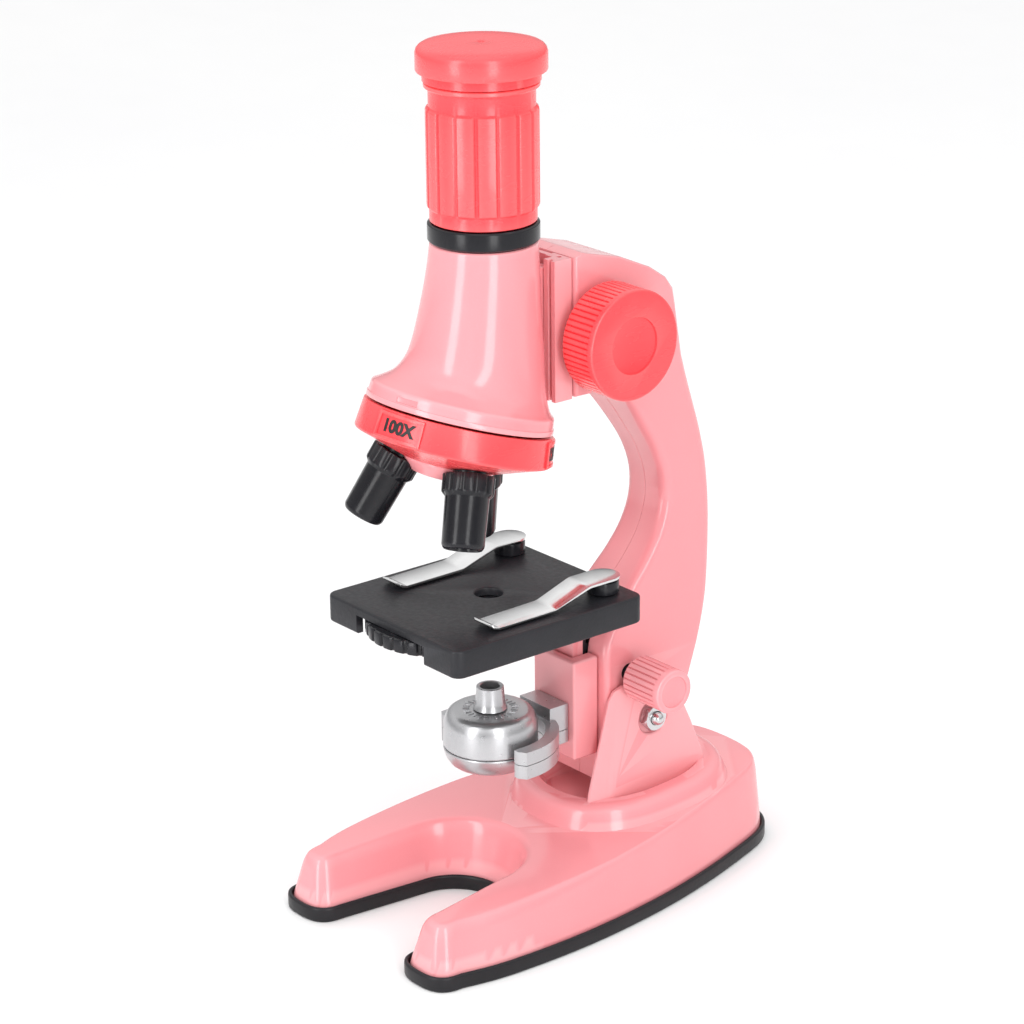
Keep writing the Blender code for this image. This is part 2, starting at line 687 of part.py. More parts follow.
def make_drives(coarse, fine, tube, stage):
    coarse_pitch_line = COARSE_Y - TOOTH_MODULE * COARSE_TEETH / 2
    fine_pitch_line = FINE_Y - TOOTH_MODULE * FINE_TEETH / 2
    make_pinion("coarse_pinion", COARSE_TEETH, COARSE_Y, COARSE_Z, COARSE_KNOB[1] - 3.6, coarse)
    make_pinion("fine_pinion", FINE_TEETH, FINE_Y, FINE_Z, FINE_KNOB[1] - 3.6, fine)
    for side, label in ((1, "right"), (-1, "left")):
        make_knob(f"coarse_knob_{label}", COARSE_KNOB[:2], COARSE_KNOB[2], 36, 0.45, side,
                  COARSE_Y, COARSE_Z, CORAL, coarse)
        make_knob(f"fine_knob_{label}", FINE_KNOB[:2], FINE_KNOB[2], 16, 0.45, side,
                  FINE_Y, FINE_Z, PINK, fine)
    outline = rack_outline(coarse_pitch_line - 1.9, coarse_pitch_line, 136.5, 161.5, COARSE_Z)
    finish(side_plate("tube_rack", outline, -2.9, 2.9), BLACK, tube)
    outline = rack_outline(fine_pitch_line - 2.4, fine_pitch_line, 45.5, 66.5, FINE_Z)
    finish(side_plate("stage_rack", outline, -2.9, 2.9), BLACK, stage)


# ---------------------------------------------------------------- tube and turret

def ring_about(centre_y, centre_z, radius, tilt, count=SEGMENTS):
    """A circle tipped about X, its front raised."""
    ring = []
    for i in range(count):
        t = math.tau * i / count
        across = radius * math.sin(t)
        ring.append((radius * math.cos(t), centre_y + across * math.cos(tilt),
                     centre_z - across * math.sin(tilt)))
    return ring


# centre y, centre z, radius and tilt in degrees, down the tube's flare
TUBE_RINGS = ((0.0, TUBE_TOP, 13.0, 0.0), (-0.3, 167.5, 13.6, 2.0), (-0.95, 160.0, 14.4, 4.5),
              (-1.95, 150.0, 15.8, 9.0), (-3.0, 143.6, 17.0, 13.0), (-4.6, 139.3, 18.7, 15.5),
              (-6.3, 137.2, 20.8, 16.8), (-7.1, 136.1, 22.6, 17.2), (-8.2, 132.3, 23.1, 17.2))


def make_tube(body):
    rings = [ring_about(y, z, r, math.radians(t)) for y, z, r, t in TUBE_RINGS]
    tube = loft("body_tube", rings[::-1])
    inner = [ring_about(y, z, r - 2.0, math.radians(t)) for y, z, r, t in TUBE_RINGS[:-2:2]]
    inner[0] = ring_about(0.0, TUBE_TOP + 1.0, TUBE_BORE, 0.0)
    cut(tube, loft("tube_hollow", inner[::-1]))
    join(tube, box("tube_rail", (-5.5, 11.6, 133.5), (5.5, 15.7, 166.0)))
    cut(tube, rod("tube_bore", TUBE_BORE, 40.0, (0.0, 0.0, 136.0), segments=SEGMENTS))
    down = (-TURRET_TILT, 0.0, 0.0)
    axis_y, axis_z = turret_point(SEAM_DEPTH + 2.0)
    cut(tube, rod("tube_screw_hole", 1.5, 10.0, (0.0, axis_y, axis_z), down))
    light_z = 120.0
    cut(tube, rod("tube_light_way", 4.5, 20.0, (0.0, 0.0, light_z), segments=24))
    finish(tube, PINK, body)
    profile = [(13.5, COLLAR_TOP - 0.5), (13.5, TUBE_TOP + 0.8), (13.0, TUBE_TOP + GAP),
               (TUBE_BORE, TUBE_TOP + GAP), (TUBE_BORE, COLLAR_TOP), (13.0, COLLAR_TOP)]
    finish(turned("tube_collar", profile), BLACK, body)
    profile = [(0.0, 11.9), (0.6, 11.9), (1.1, 10.5), (1.1, 0.0), (3.2, -0.3), (3.2, -1.4),
               (2.4, -2.0), (0.0, -2.0)]
    y, z = turret_point(SEAM_DEPTH + 13.6)
    finish(turned("turret_screw", profile, (0.0, y, z), down, 20), STEEL, body)


def turret_point(depth):
    """The point at a depth from the apex along the turret's axis, as y and z."""
    return -depth * math.sin(TURRET_TILT), APEX_Z - depth * math.cos(TURRET_TILT)


def turret_frame():
    """The turret's own frame: origin at the apex, Z up its axis, turned to its rest place."""
    tilt = Euler((-TURRET_TILT, 0.0, 0.0)).to_matrix()
    return tilt @ Matrix.Rotation(TURRET_TURN, 3, "Z")


def make_turret(body):
    turn = turret_frame().to_euler()
    apex = (0.0, 0.0, APEX_Z)
    seam = -SEAM_DEPTH - GAP
    profile = [(22.6, seam), (23.4, seam), (24.2, seam - 6.8), (24.2, seam - 7.3), (12.5, seam - 11.4),
               (4.2, seam - 11.8), (4.2, seam - 9.2), (12.0, seam - 9.0), (21.8, seam - 5.6), (21.6, seam)]
    ring = turned("turret", profile, apex, turn, 28)
    hub = [(4.0, seam - 0.2), (5.2, seam - 0.2), (5.2, seam - 11.6), (1.5, seam - 11.6), (1.5, seam - 0.2)]
    join(ring, turned("turret_hub", hub, apex, turn, 10))
    frame = turret_frame()
    for i in range(3):
        angle = math.radians(90 + 120 * i)
        out = Vector((math.cos(angle) * math.sin(TURRET_TILT), math.sin(angle) * math.sin(TURRET_TILT),
                      -math.cos(TURRET_TILT)))
        down = (frame @ out).normalized()
        spin = down.to_track_quat("Z", "Y").to_euler()
        start = Vector((0.0, OPTIC_Y, APEX_Z)) + down * (OBJECTIVE_TOP - 8.0)
        bore = rod(f"objective_bore_{i}", 4.4, 12.0, (start.x, start.y - OPTIC_Y, start.z), spin, 12)
        cut(ring, bore)
        label = turret_label(i, apex, turn)
        join(ring, label)
        make_objective(i + 1, down, spin, body)
    finish(ring, CORAL, body)


def turret_label(i, apex, turn):
    """A raised panel on the ring, midway between two objectives."""
    centre = 90 + 120 * i + 60
    half = 16.0
    rings = []
    for height, radius in ((-SEAM_DEPTH - GAP - 0.4, 23.95), (-SEAM_DEPTH - GAP - 6.9, 24.75)):
        outer = arc((0.0, 0.0), radius, centre - half, centre + half, 2)
        inner = arc((0.0, 0.0), radius - 1.4, centre + half, centre - half, 2)
        rings.append([(x, y, height) for x, y in [*outer, *inner]])
    return loft(f"turret_label_{i}", rings, apex, turn)


def make_objective(number, down, spin, body):
    """A black barrel with a fluted collar, hanging from the turret, and its lens."""
    apex = Vector((0.0, 0.0, APEX_Z))
    start = apex + down * OBJECTIVE_TOP
    length = OBJECTIVE_TIP - OBJECTIVE_TOP
    levels = ((-3.2, 4.0, 4.0), (0.6, 4.0, 4.0), (0.61, 6.35, 6.0), (5.2, 6.35, 6.0), (6.0, 5.4, 5.4),
              (length - 0.9, 5.2, 5.2), (length, 4.6, 4.6))
    barrel = ribbed(f"objective_{number}", 12, levels, ((0.0, False), (0.5, True)), start, spin)
    cut(barrel, rod(f"objective_{number}_bore", 2.6, 40.0, start - down * 10.0, spin, 12))
    cut(barrel, rod(f"objective_{number}_seat", 3.4, 5.0, start + down * (length - 2.4), spin, 16))
    finish(barrel, BLACK, body)
    profile = [(0.0, 1.7), (1.8, 1.5), (3.1, 0.9), (3.1, 0.0), (0.0, 0.0)]
    glass = turned(f"objective_lens_{number}", profile, start + down * (length - 2.1), spin, 14)
    finish(glass, LENS, body)


# ---------------------------------------------------------------- eyepiece

def make_eyepiece(body):
    rest = COLLAR_TOP + GAP
    levels = ((rest, 12.9, 12.9), (182.4, 12.9, 12.9), (183.3, 13.5, 13.0), (206.2, 13.5, 13.0),
              (207.0, 12.75, 12.75), (EYEPIECE_TOP - GAP, 12.75, 12.75))
    pattern = ((0.0, False), (0.14, True), (0.86, True))
    barrel = ribbed("eyepiece_barrel", 16, levels, pattern, (0.0, 0.0, 0.0))
    join(barrel, rod("eyepiece_rim", 13.8, 1.2, (0.0, 0.0, EYEPIECE_TOP - GAP - 1.2), segments=SEGMENTS))
    join(barrel, rod("eyepiece_plug", TUBE_BORE - 0.4, 32.0, (0.0, 0.0, rest - 31.0), segments=SEGMENTS))
    cut(barrel, rod("eyepiece_bore", 8.8, 80.0, (0.0, 0.0, 145.0), segments=20))
    cut(barrel, rod("eyepiece_mouth", 10.6, 10.0, (0.0, 0.0, 207.0), segments=20))
    finish(barrel, CORAL, body)
    profile = [(0.0, 3.0), (5.0, 2.5), (10.2, 0.9), (10.2, 0.3), (0.0, 0.0)]
    finish(turned("eye_lens", profile, (0.0, 0.0, 207.3), steps=20), LENS, body)
    profile = [(0.0, 3.4), (4.5, 3.0), (8.4, 1.2), (8.4, 0.2), (0.0, 0.0)]
    finish(turned("field_lens", profile, (0.0, 0.0, 181.0), steps=20), LENS, body)


def make_cap(body):
    lip = EYEPIECE_TOP
    profile = [(0.0, CAP_TOP - 0.6), (1.8, CAP_TOP), (8.0, CAP_TOP), (14.4, CAP_TOP - 0.7),
               (CAP_RADIUS, CAP_TOP - 1.9), (CAP_RADIUS, 215.5), (15.3, 215.2), (14.1, 215.2),
               (14.1, lip), (10.2, lip), (10.2, 211.2), (8.6, 211.2), (8.6, 219.6), (0.0, 219.6)]
    finish(turned("dust_cap", profile), CORAL, body)


# ---------------------------------------------------------------- stage

def rounded_box_outline(half_x, low_y, high_y, radius, steps=5):
    corners = ((half_x - radius, high_y - radius, 0), (-half_x + radius, high_y - radius, 90),
               (-half_x + radius, low_y + radius, 180), (half_x - radius, low_y + radius, 270))
    points = []
    for x, y, start in corners:
        points.extend(arc((x, y), radius, start, start + 90, steps))
    return points


def make_stage(body):
    outline = rounded_box_outline(STAGE_HALF_WIDTH, STAGE_FRONT, STAGE_BACK, STAGE_CORNER)
    plate = level_plate("stage_plate", outline, STAGE_SKIRT, STAGE_TOP)
    bevel(plate, 0.6, 2, 60)
    room = rounded_box_outline(STAGE_HALF_WIDTH - 2.0, STAGE_FRONT + 2.0, STAGE_BACK - 2.0, 1.5)
    cut(plate, level_plate("stage_room", room, STAGE_SKIRT - 1, STAGE_TOP - STAGE_SHEET))
    cut(plate, box("wheel_way", (-13.5, STAGE_FRONT - 1, STAGE_SKIRT - 1), (13.5, STAGE_FRONT + 3, 81.9)))
    cut(plate, box("slide_way", (-4.3, 25.0, STAGE_SKIRT - 1), (4.3, 30.0, 81.95)))
    cut(plate, rod("stage_hole", STAGE_HOLE, 10.0, (0.0, 0.0, 78.0), segments=28))
    for side in (-1, 1):
        cut(plate, rod(f"stud_hole_{side}", 1.8, 10.0, (side * CLIP_X, CLIP_Y, 78.0)))
    cut(plate, rod("wheel_pivot_hole", 1.0, 1.5, (0.0, WHEEL_Y, 81.5), segments=14))
    finish(plate, BLACK, body)
    slide = box("stage_slide", (-3.9, 23.7, 44.0), (3.9, 27.2, 81.7))
    join(slide, box("stage_slide_foot", (-12.0, 22.0, 79.2), (12.0, 25.9, 81.7)))
    bevel(slide, 0.4, 1)
    finish(slide, PINK, body)
    profile = [(0.0, 5.8), (0.8, 5.8), (0.8, 4.5), (1.6, 4.5), (1.6, 1.0), (3.6, 0.9), (3.6, 0.3),
               (3.0, 0.0), (0.0, 0.0)]
    finish(turned("wheel_pivot", profile, (0.0, WHEEL_Y, 77.0), steps=14), STEEL, body)


WHEEL_HOLES = ((0, 3.0), (60, 1.2), (120, 1.8), (180, 2.8), (240, 2.2), (300, 3.2))
WHEEL_HOLE_CIRCLE = 14.0


def make_wheel(body):
    levels = ((0.0, WHEEL_RADIUS - 0.4, WHEEL_RADIUS - 1.0), (0.5, WHEEL_RADIUS, WHEEL_RADIUS - 0.6),
              (3.5, WHEEL_RADIUS, WHEEL_RADIUS - 0.6))
    wheel = ribbed("filter_wheel", 26, levels, KNURL, (0.0, WHEEL_Y, 78.2))
    cut(wheel, rod("wheel_bore", 1.9, 6.0, (0.0, WHEEL_Y, 77.0)))
    for i, (angle, radius) in enumerate(WHEEL_HOLES):
        t = math.radians(90 + angle)
        where = (WHEEL_HOLE_CIRCLE * math.cos(t), WHEEL_Y + WHEEL_HOLE_CIRCLE * math.sin(t), 77.0)
        cut(wheel, rod(f"wheel_hole_{i}", radius, 6.0, where, segments=10))
    finish(wheel, BLACK, body)


CLIP_PROFILE = ((26.0, 88.2), (14.0, 88.2), (3.6, 84.8), (-14.4, 84.6), (-15.9, 85.1), (-16.9, 85.9))
CLIP_SHEET = 0.6


def make_clip(name, side, body):
    """A spring strip stamped from sheet: raised at its round end, stepped down to the slide."""
    upper = [(y, z + CLIP_SHEET) for y, z in reversed(CLIP_PROFILE)]
    strip = side_plate(name, [*CLIP_PROFILE, *upper], side * CLIP_X - 4.2, side * CLIP_X + 4.2)
    end = [*arc((0.0, CLIP_Y), 4.2, 0, 180, 10), (-3.9, -17.4), (3.9, -17.4)]
    shape = level_plate(name + "_shape", [(side * CLIP_X + x, y) for x, y in end], 80.0, 92.0)
    boolean(strip, shape, "INTERSECT")
    finish(strip, STEEL, body)
    profile = [(0.0, 3.6), (4.0, 3.6), (4.0, 0.3), (1.5, 0.3), (1.5, -3.2), (0.9, -3.9), (0.0, -3.9)]
    stud = turned(name + "_stud", profile, (side * CLIP_X, CLIP_Y, STAGE_TOP), steps=16)
    finish(stud, BLACK, body)


# ---------------------------------------------------------------- lamp

def make_lamp(body):
    top = 53.0
    upper = turned("lamp_upper", [
        (2.8, top), (9.4, top), (11.1, top - 1.3), (11.8, top - 3.3), (LAMP_RADIUS, LAMP_Z + 0.15),
        (10.4, LAMP_Z + 0.15), (10.2, top - 2.6), (9.0, top - 1.6), (2.8, top - 1.6)], steps=24)
    lower = turned("lamp_lower", [
        (0.0, 41.0), (9.4, 41.0), (10.4, 42.0), (10.4, LAMP_Z - 0.15), (LAMP_RADIUS, LAMP_Z - 0.15),
        (11.6, 41.2), (10.4, 39.4), (8.6, 38.5), (8.3, 38.5), (8.3, 39.6), (0.0, 39.6)], steps=24)
    for shell, label in ((upper, "upper"), (lower, "lower")):
        cut(shell, rod(f"lamp_{label}_bores", 1.5, 30.0, (-15.0, 0.0, LAMP_Z), ALONG_X))
        finish(shell, SILVER, body)
    profile = [(3.3, 59.2), (4.3, 53.3), (2.5, 53.3), (2.5, 59.2)]
    finish(turned("lamp_nozzle", profile, steps=20), SILVER, body)
    profile = [(0.0, 57.6), (1.3, 57.2), (2.1, 56.0), (2.1, 47.0), (0.0, 47.0)]
    finish(turned("lamp_led", profile, steps=14), LENS, body)
    profile = [(0.0, 39.3), (8.0, 39.3), (8.0, 38.6), (0.0, 38.9)]
    finish(turned("lamp_mirror", profile, steps=20), MIRROR, body)
    for side, label in ((1, "right"), (-1, "left")):
        start = 8.8 if side > 0 else -15.8
        finish(rod(f"lamp_pin_{label}", 1.2, 7.0, (start, 0.0, LAMP_Z), ALONG_X, 16), STEEL, body)


# ---------------------------------------------------------------- assembly

def build():
    make_base_shell()
    make_base_plate()
    make_power()
    make_tilt_bolt()
    arm = pivot("arm_tilt_axis", (0.0, TILT_Y, TILT_Z))
    tube = pivot("coarse_focus_slide", (0.0, 15.0, COARSE_Z), parent=arm)
    stage = pivot("stage_focus_slide", (0.0, 25.0, FINE_Z), parent=arm)
    coarse = pivot("coarse_knob_axis", (0.0, COARSE_Y, COARSE_Z), parent=arm)
    fine = pivot("fine_knob_axis", (0.0, FINE_Y, FINE_Z), parent=arm)
    turret = pivot("turret_axis", (0.0, 0.0, APEX_Z), (-TURRET_TILT, 0.0, 0.0), tube)
    eyepiece = pivot("eyepiece_slide", (0.0, 0.0, COLLAR_TOP), parent=tube)
    cap = pivot("dust_cap_slide", (0.0, 0.0, EYEPIECE_TOP), parent=eyepiece)
    wheel = pivot("filter_wheel_axis", (0.0, WHEEL_Y, STAGE_SKIRT), parent=stage)
    lamp = pivot("lamp_axis", (0.0, 0.0, LAMP_Z), parent=arm)
    make_arm_half("arm_left_half", -1, arm)
    make_arm_half("arm_right_half", 1, arm)
    make_guides(arm)
    make_yoke(arm)
    make_drives(coarse, fine, tube, stage)
    make_tube(tube)
    make_turret(turret)
    make_eyepiece(eyepiece)
    make_cap(cap)
    make_stage(stage)
    make_wheel(wheel)
    for side, label in ((1, "right"), (-1, "left")):
        swing = pivot(f"clip_{label}_axis", (side * CLIP_X, CLIP_Y, STAGE_TOP), parent=stage)
        make_clip(f"clip_{label}", side, swing)
    make_lamp(lamp)


build()
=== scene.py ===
"""Looks of the children's microscope: detailed shells, grips, optics and finishes round the CAD frame.

Sizes are in millimetres. Places are given from the optical axis, with y running back to the arm, and
are turned into the row frame as each mesh is made. Everything rides on the CAD body it belongs to.
"""

import json
import math

import bmesh
import bpy
from mathutils import Euler, Matrix, Vector

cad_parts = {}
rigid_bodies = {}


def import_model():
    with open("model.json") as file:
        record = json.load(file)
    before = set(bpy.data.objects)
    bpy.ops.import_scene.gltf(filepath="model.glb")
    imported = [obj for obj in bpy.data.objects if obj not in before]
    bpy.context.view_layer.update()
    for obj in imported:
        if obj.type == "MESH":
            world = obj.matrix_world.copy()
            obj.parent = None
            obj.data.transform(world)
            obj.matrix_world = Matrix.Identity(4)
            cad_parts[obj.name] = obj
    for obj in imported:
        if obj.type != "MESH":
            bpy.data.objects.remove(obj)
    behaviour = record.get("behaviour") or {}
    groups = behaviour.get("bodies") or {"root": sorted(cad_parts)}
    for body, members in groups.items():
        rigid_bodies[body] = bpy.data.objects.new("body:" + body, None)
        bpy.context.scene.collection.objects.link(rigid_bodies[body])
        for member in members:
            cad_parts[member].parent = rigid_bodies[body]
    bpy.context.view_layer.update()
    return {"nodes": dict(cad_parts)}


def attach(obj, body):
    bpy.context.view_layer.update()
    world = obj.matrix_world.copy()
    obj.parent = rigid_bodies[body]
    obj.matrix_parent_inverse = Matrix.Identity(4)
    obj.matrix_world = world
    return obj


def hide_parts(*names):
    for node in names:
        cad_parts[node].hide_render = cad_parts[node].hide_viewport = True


for leftover in list(bpy.data.objects):
    bpy.data.objects.remove(leftover)
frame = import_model()

MM = 0.001
OPTIC_Y = -20.2
ORIGIN = (0.0, 0.0, 0.0)
ROUND = 96
TINY = 1e-6
SCENE = bpy.context.scene


# --- outlines

def arc(centre, radius, start, end, steps):
    rx, ry = radius if isinstance(radius, tuple) else (radius, radius)
    angles = [math.radians(start + (end - start) * i / steps) for i in range(steps + 1)]
    return [(centre[0] + rx * math.cos(t), centre[1] + ry * math.sin(t)) for t in angles]


def polar(radius, angle):
    return radius * math.cos(angle), radius * math.sin(angle)


def smooth_line(points, per_span=4):
    """A Catmull-Rom line through points of any size."""
    ends = [points[0], *points, points[-1]]
    line = []
    for p0, p1, p2, p3 in zip(ends, ends[1:], ends[2:], ends[3:]):
        for i in range(per_span):
            t = i / per_span
            line.append(tuple(
                0.5 * (2 * b + (c - a) * t + (2 * a - 5 * b + 4 * c - d) * t * t
                       + (3 * b - a - 3 * c + d) * t ** 3)
                for a, b, c, d in zip(p0, p1, p2, p3)))
    return [*line, tuple(points[-1])]


def rounded(points, radius, closed=True, steps=4):
    """An outline with its corners eased. The radius may be one number or one for each corner."""
    eased = []
    last = len(points) - 1
    for i, point in enumerate(points):
        reach = radius[i] if isinstance(radius, (list, tuple)) else radius
        if reach == 0 or (not closed and i in (0, last)):
            eased.append(tuple(point))
            continue
        corner = Vector(point)
        before = Vector(points[i - 1]) - corner
        after = Vector(points[(i + 1) % len(points)]) - corner
        half = max(before.angle(after) / 2, 0.05)
        if half > 1.5:
            eased.append(tuple(point))
            continue
        back = min(reach / math.tan(half), 0.48 * before.length, 0.48 * after.length)
        start = corner + before.normalized() * back
        end = corner + after.normalized() * back
        for k in range(steps + 1):
            t = k / steps
            eased.append(tuple(start * (1 - t) ** 2 + corner * 2 * t * (1 - t) + end * t * t))
    return eased


def signed_area(outline):
    return sum(a[0] * b[1] - b[0] * a[1] for a, b in zip(outline, [*outline[1:], outline[0]])) / 2


def inset(outline, depth):
    """A counter-clockwise outline moved inwards."""
    moved = []
    for i, point in enumerate(outline):
        before = Vector(outline[i - 1])
        after = Vector(outline[(i + 1) % len(outline)])
        here = Vector(point)
        one = (here - before).normalized()
        two = (after - here).normalized()
        n1, n2 = Vector((-one.y, one.x)), Vector((-two.y, two.x))
        middle = n1 + n2
        if middle.length < TINY:
            middle = n1
        middle.normalize()
        moved.append(tuple(here + middle * depth / max(0.35, middle.dot(n1))))
    return moved


def mirrored(half):
    """Closes a half outline, given from its first to its last point on x = 0, across x = 0."""
    return [*half, *[(-x, y) for x, y in reversed(half) if x > 0.001]]


# --- meshes

def added(name, data):
    """Puts a new object in the scene."""
    made = bpy.data.objects.new(name, data)
    SCENE.collection.objects.link(made)
    return made


def to_frame(where, turn):
    """The matrix from a piece's own millimetres to its place in the row frame."""
    x, y, z = where
    matrix = Matrix.Translation(Vector((x, y + OPTIC_Y, z)) * MM)
    return matrix @ (turn.to_4x4() if isinstance(turn, Matrix) else Euler(turn).to_matrix().to_4x4())


def mesh_piece(name, points, faces, where=ORIGIN, turn=ORIGIN):
    matrix = to_frame(where, turn)
    mesh = bpy.data.meshes.new(name)
    mesh.from_pydata([matrix @ (Vector(p) * MM) for p in points], [], faces)
    work = bmesh.new()
    work.from_mesh(mesh)
    big = [face for face in work.faces if len(face.verts) > 4]
    work.normal_update()
    bmesh.ops.triangulate(work, faces=big)
    bmesh.ops.recalc_face_normals(work, faces=work.faces)
    work.to_mesh(mesh)
    work.free()
    return added(name, mesh)


def loft(name, rings, where=ORIGIN, turn=ORIGIN):
    """Skins rings of equally many points and caps both ends."""
    count = len(rings[0])
    points = [p for ring in rings for p in ring]
    faces = []
    for level in range(len(rings) - 1):
        for i in range(count):
            j = (i + 1) % count
            a, b = level * count, (level + 1) * count
            faces.append((a + i, a + j, b + j, b + i))
    faces.append(tuple(range(count))[::-1])
    faces.append(tuple(range((len(rings) - 1) * count, len(rings) * count)))
    return mesh_piece(name, points, faces, where, turn)


def lathe(name, profile, where=ORIGIN, turn=ORIGIN, steps=ROUND):
    """A profile of (radius, height) points turned about Z, closed unless both ends are on the axis."""
    on_axis = profile[0][0] < TINY and profile[-1][0] < TINY
    points, rows = [], []
    for r, z in profile:
        if r < TINY:
            rows.append([len(points)] * steps)
            points.append((0.0, 0.0, z))
        else:
            rows.append(list(range(len(points), len(points) + steps)))
            for i in range(steps):
                points.append((*polar(r, math.tau * i / steps), z))
    pairs = list(zip(rows, rows[1:]))
    if not on_axis:
        pairs.append((rows[-1], rows[0]))
    faces = []
    for low, high in pairs:
        for i in range(steps):
            j = (i + 1) % steps
            face = []
            for v in (low[i], low[j], high[j], high[i]):
                if v not in face:
                    face.append(v)
            if len(face) > 2:
                faces.append(tuple(face))
    return mesh_piece(name, points, faces, where, turn)


LEVEL = "level"
SIDE = "side"


def slab(name, outline, low, high, edge=0.5, facing=LEVEL, steps=3):
    """A flat outline given thickness, with its two rims rounded. SIDE outlines are (y, z)."""
    if signed_area(outline) < 0:
        outline = outline[::-1]
    rims = []
    for k in range(steps + 1):
        t = math.pi / 2 * k / steps
        rims.append((edge * (1 - math.sin(t)), low + edge * (1 - math.cos(t))))
    rims += [(d, high - (w - low)) for d, w in reversed(rims)]
    if edge == 0:
        rims = [(0.0, low), (0.0, high)]
    rings = []
    for depth, w in rims:
        flat = inset(outline, depth) if depth else outline
        rings.append([(u, v, w) if facing == LEVEL else (w, u, v) for u, v in flat])
    return loft(name, rings)


def block(name, low, high, edge=0.4, steps=2):
    """A box between two corners with rounded edges."""
    size = [b - a for a, b in zip(low, high)]
    middle = [(a + b) / 2 for a, b in zip(low, high)]
    mesh = bpy.data.meshes.new(name)
    work = bmesh.new()
    bmesh.ops.create_cube(work, size=1.0, matrix=Matrix.Diagonal((*[s * MM for s in size], 1.0)))
    if edge:
        bmesh.ops.bevel(work, geom=work.edges[:], offset=edge * MM, segments=steps, affect="EDGES",
                        profile=0.5)
    bmesh.ops.transform(work, matrix=to_frame(middle, ORIGIN), verts=work.verts)
    work.to_mesh(mesh)
    work.free()
    return added(name, mesh)


def rod(name, radius, length, where, turn=ORIGIN, steps=48, edge=0.0):
    profile = [(0.0, 0.0), (radius, 0.0), (radius, length), (0.0, length)]
    if edge:
        profile = rounded(profile, edge, closed=False, steps=3)
    return lathe(name, profile, where, turn, steps)


ALONG_X = (0.0, math.pi / 2, 0.0)


def thread(turns, start, pitch, root, crest):
    """A thread's zigzag in a lathe profile."""
    heights = [start + pitch * k for k in range(turns)]
    return [point for z in heights for point in ((root, z), (crest, z + pitch / 2))]


def ribbed(name, ribs, levels, pattern, where, turn=ORIGIN):
    """A grip: each level is (height, crest radius, groove radius); the pattern holds (share, weight)."""
    rings = []
    for height, crest, groove in levels:
        ring = []
        for rib in range(ribs):
            for share, weight in pattern:
                t = math.tau * (rib + share) / ribs
                ring.append((*polar(groove + (crest - groove) * weight, t), height))
        rings.append(ring)
    return loft(name, rings, where, turn)


# --- working on meshes

def settle(thing):
    """Applies the modifiers."""
    bpy.context.view_layer.update()
    graph = bpy.context.evaluated_depsgraph_get()
    mesh = bpy.data.meshes.new_from_object(thing.evaluated_get(graph))
    thing.modifiers.clear()
    thing.data = mesh
    return thing


def combine(thing, tools, how):
    for tool in tools:
        step = thing.modifiers.new("combine", "BOOLEAN")
        step.operation = how
        step.solver = "MANIFOLD"
        step.object = tool
    settle(thing)
    for tool in tools:
        bpy.data.objects.remove(tool)
    return thing


def cut(thing, *tools):
    return combine(thing, tools, "DIFFERENCE")


def join(thing, *tools):
    return combine(thing, tools, "UNION")


def soften(thing, width, steps=2, angle=35):
    """Rounds the edges that a Boolean left sharp."""
    weld = thing.modifiers.new("weld", "WELD")
    weld.merge_threshold = 0.00001
    step = thing.modifiers.new("soften", "BEVEL")
    step.width = width * MM
    step.segments = steps
    step.limit_method = "ANGLE"
    step.angle_limit = math.radians(angle)
    step.harden_normals = False
    return settle(thing)


def piece(thing, look, body, slot, *stands_for, sharp=30, weighted=False):
    """Gives a finished mesh its material and shading, and makes it ride on its body."""
    thing.data.materials.clear()
    thing.data.materials.append(look)
    thing.data.shade_smooth()
    thing.data.set_sharp_from_angle(angle=math.radians(sharp))
    if weighted:
        step = thing.modifiers.new("normals", "WEIGHTED_NORMAL")
        step.keep_sharp = True
        settle(thing)
    if stands_for:
        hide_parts(*stands_for)
    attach(thing, body)
    return thing


# --- materials

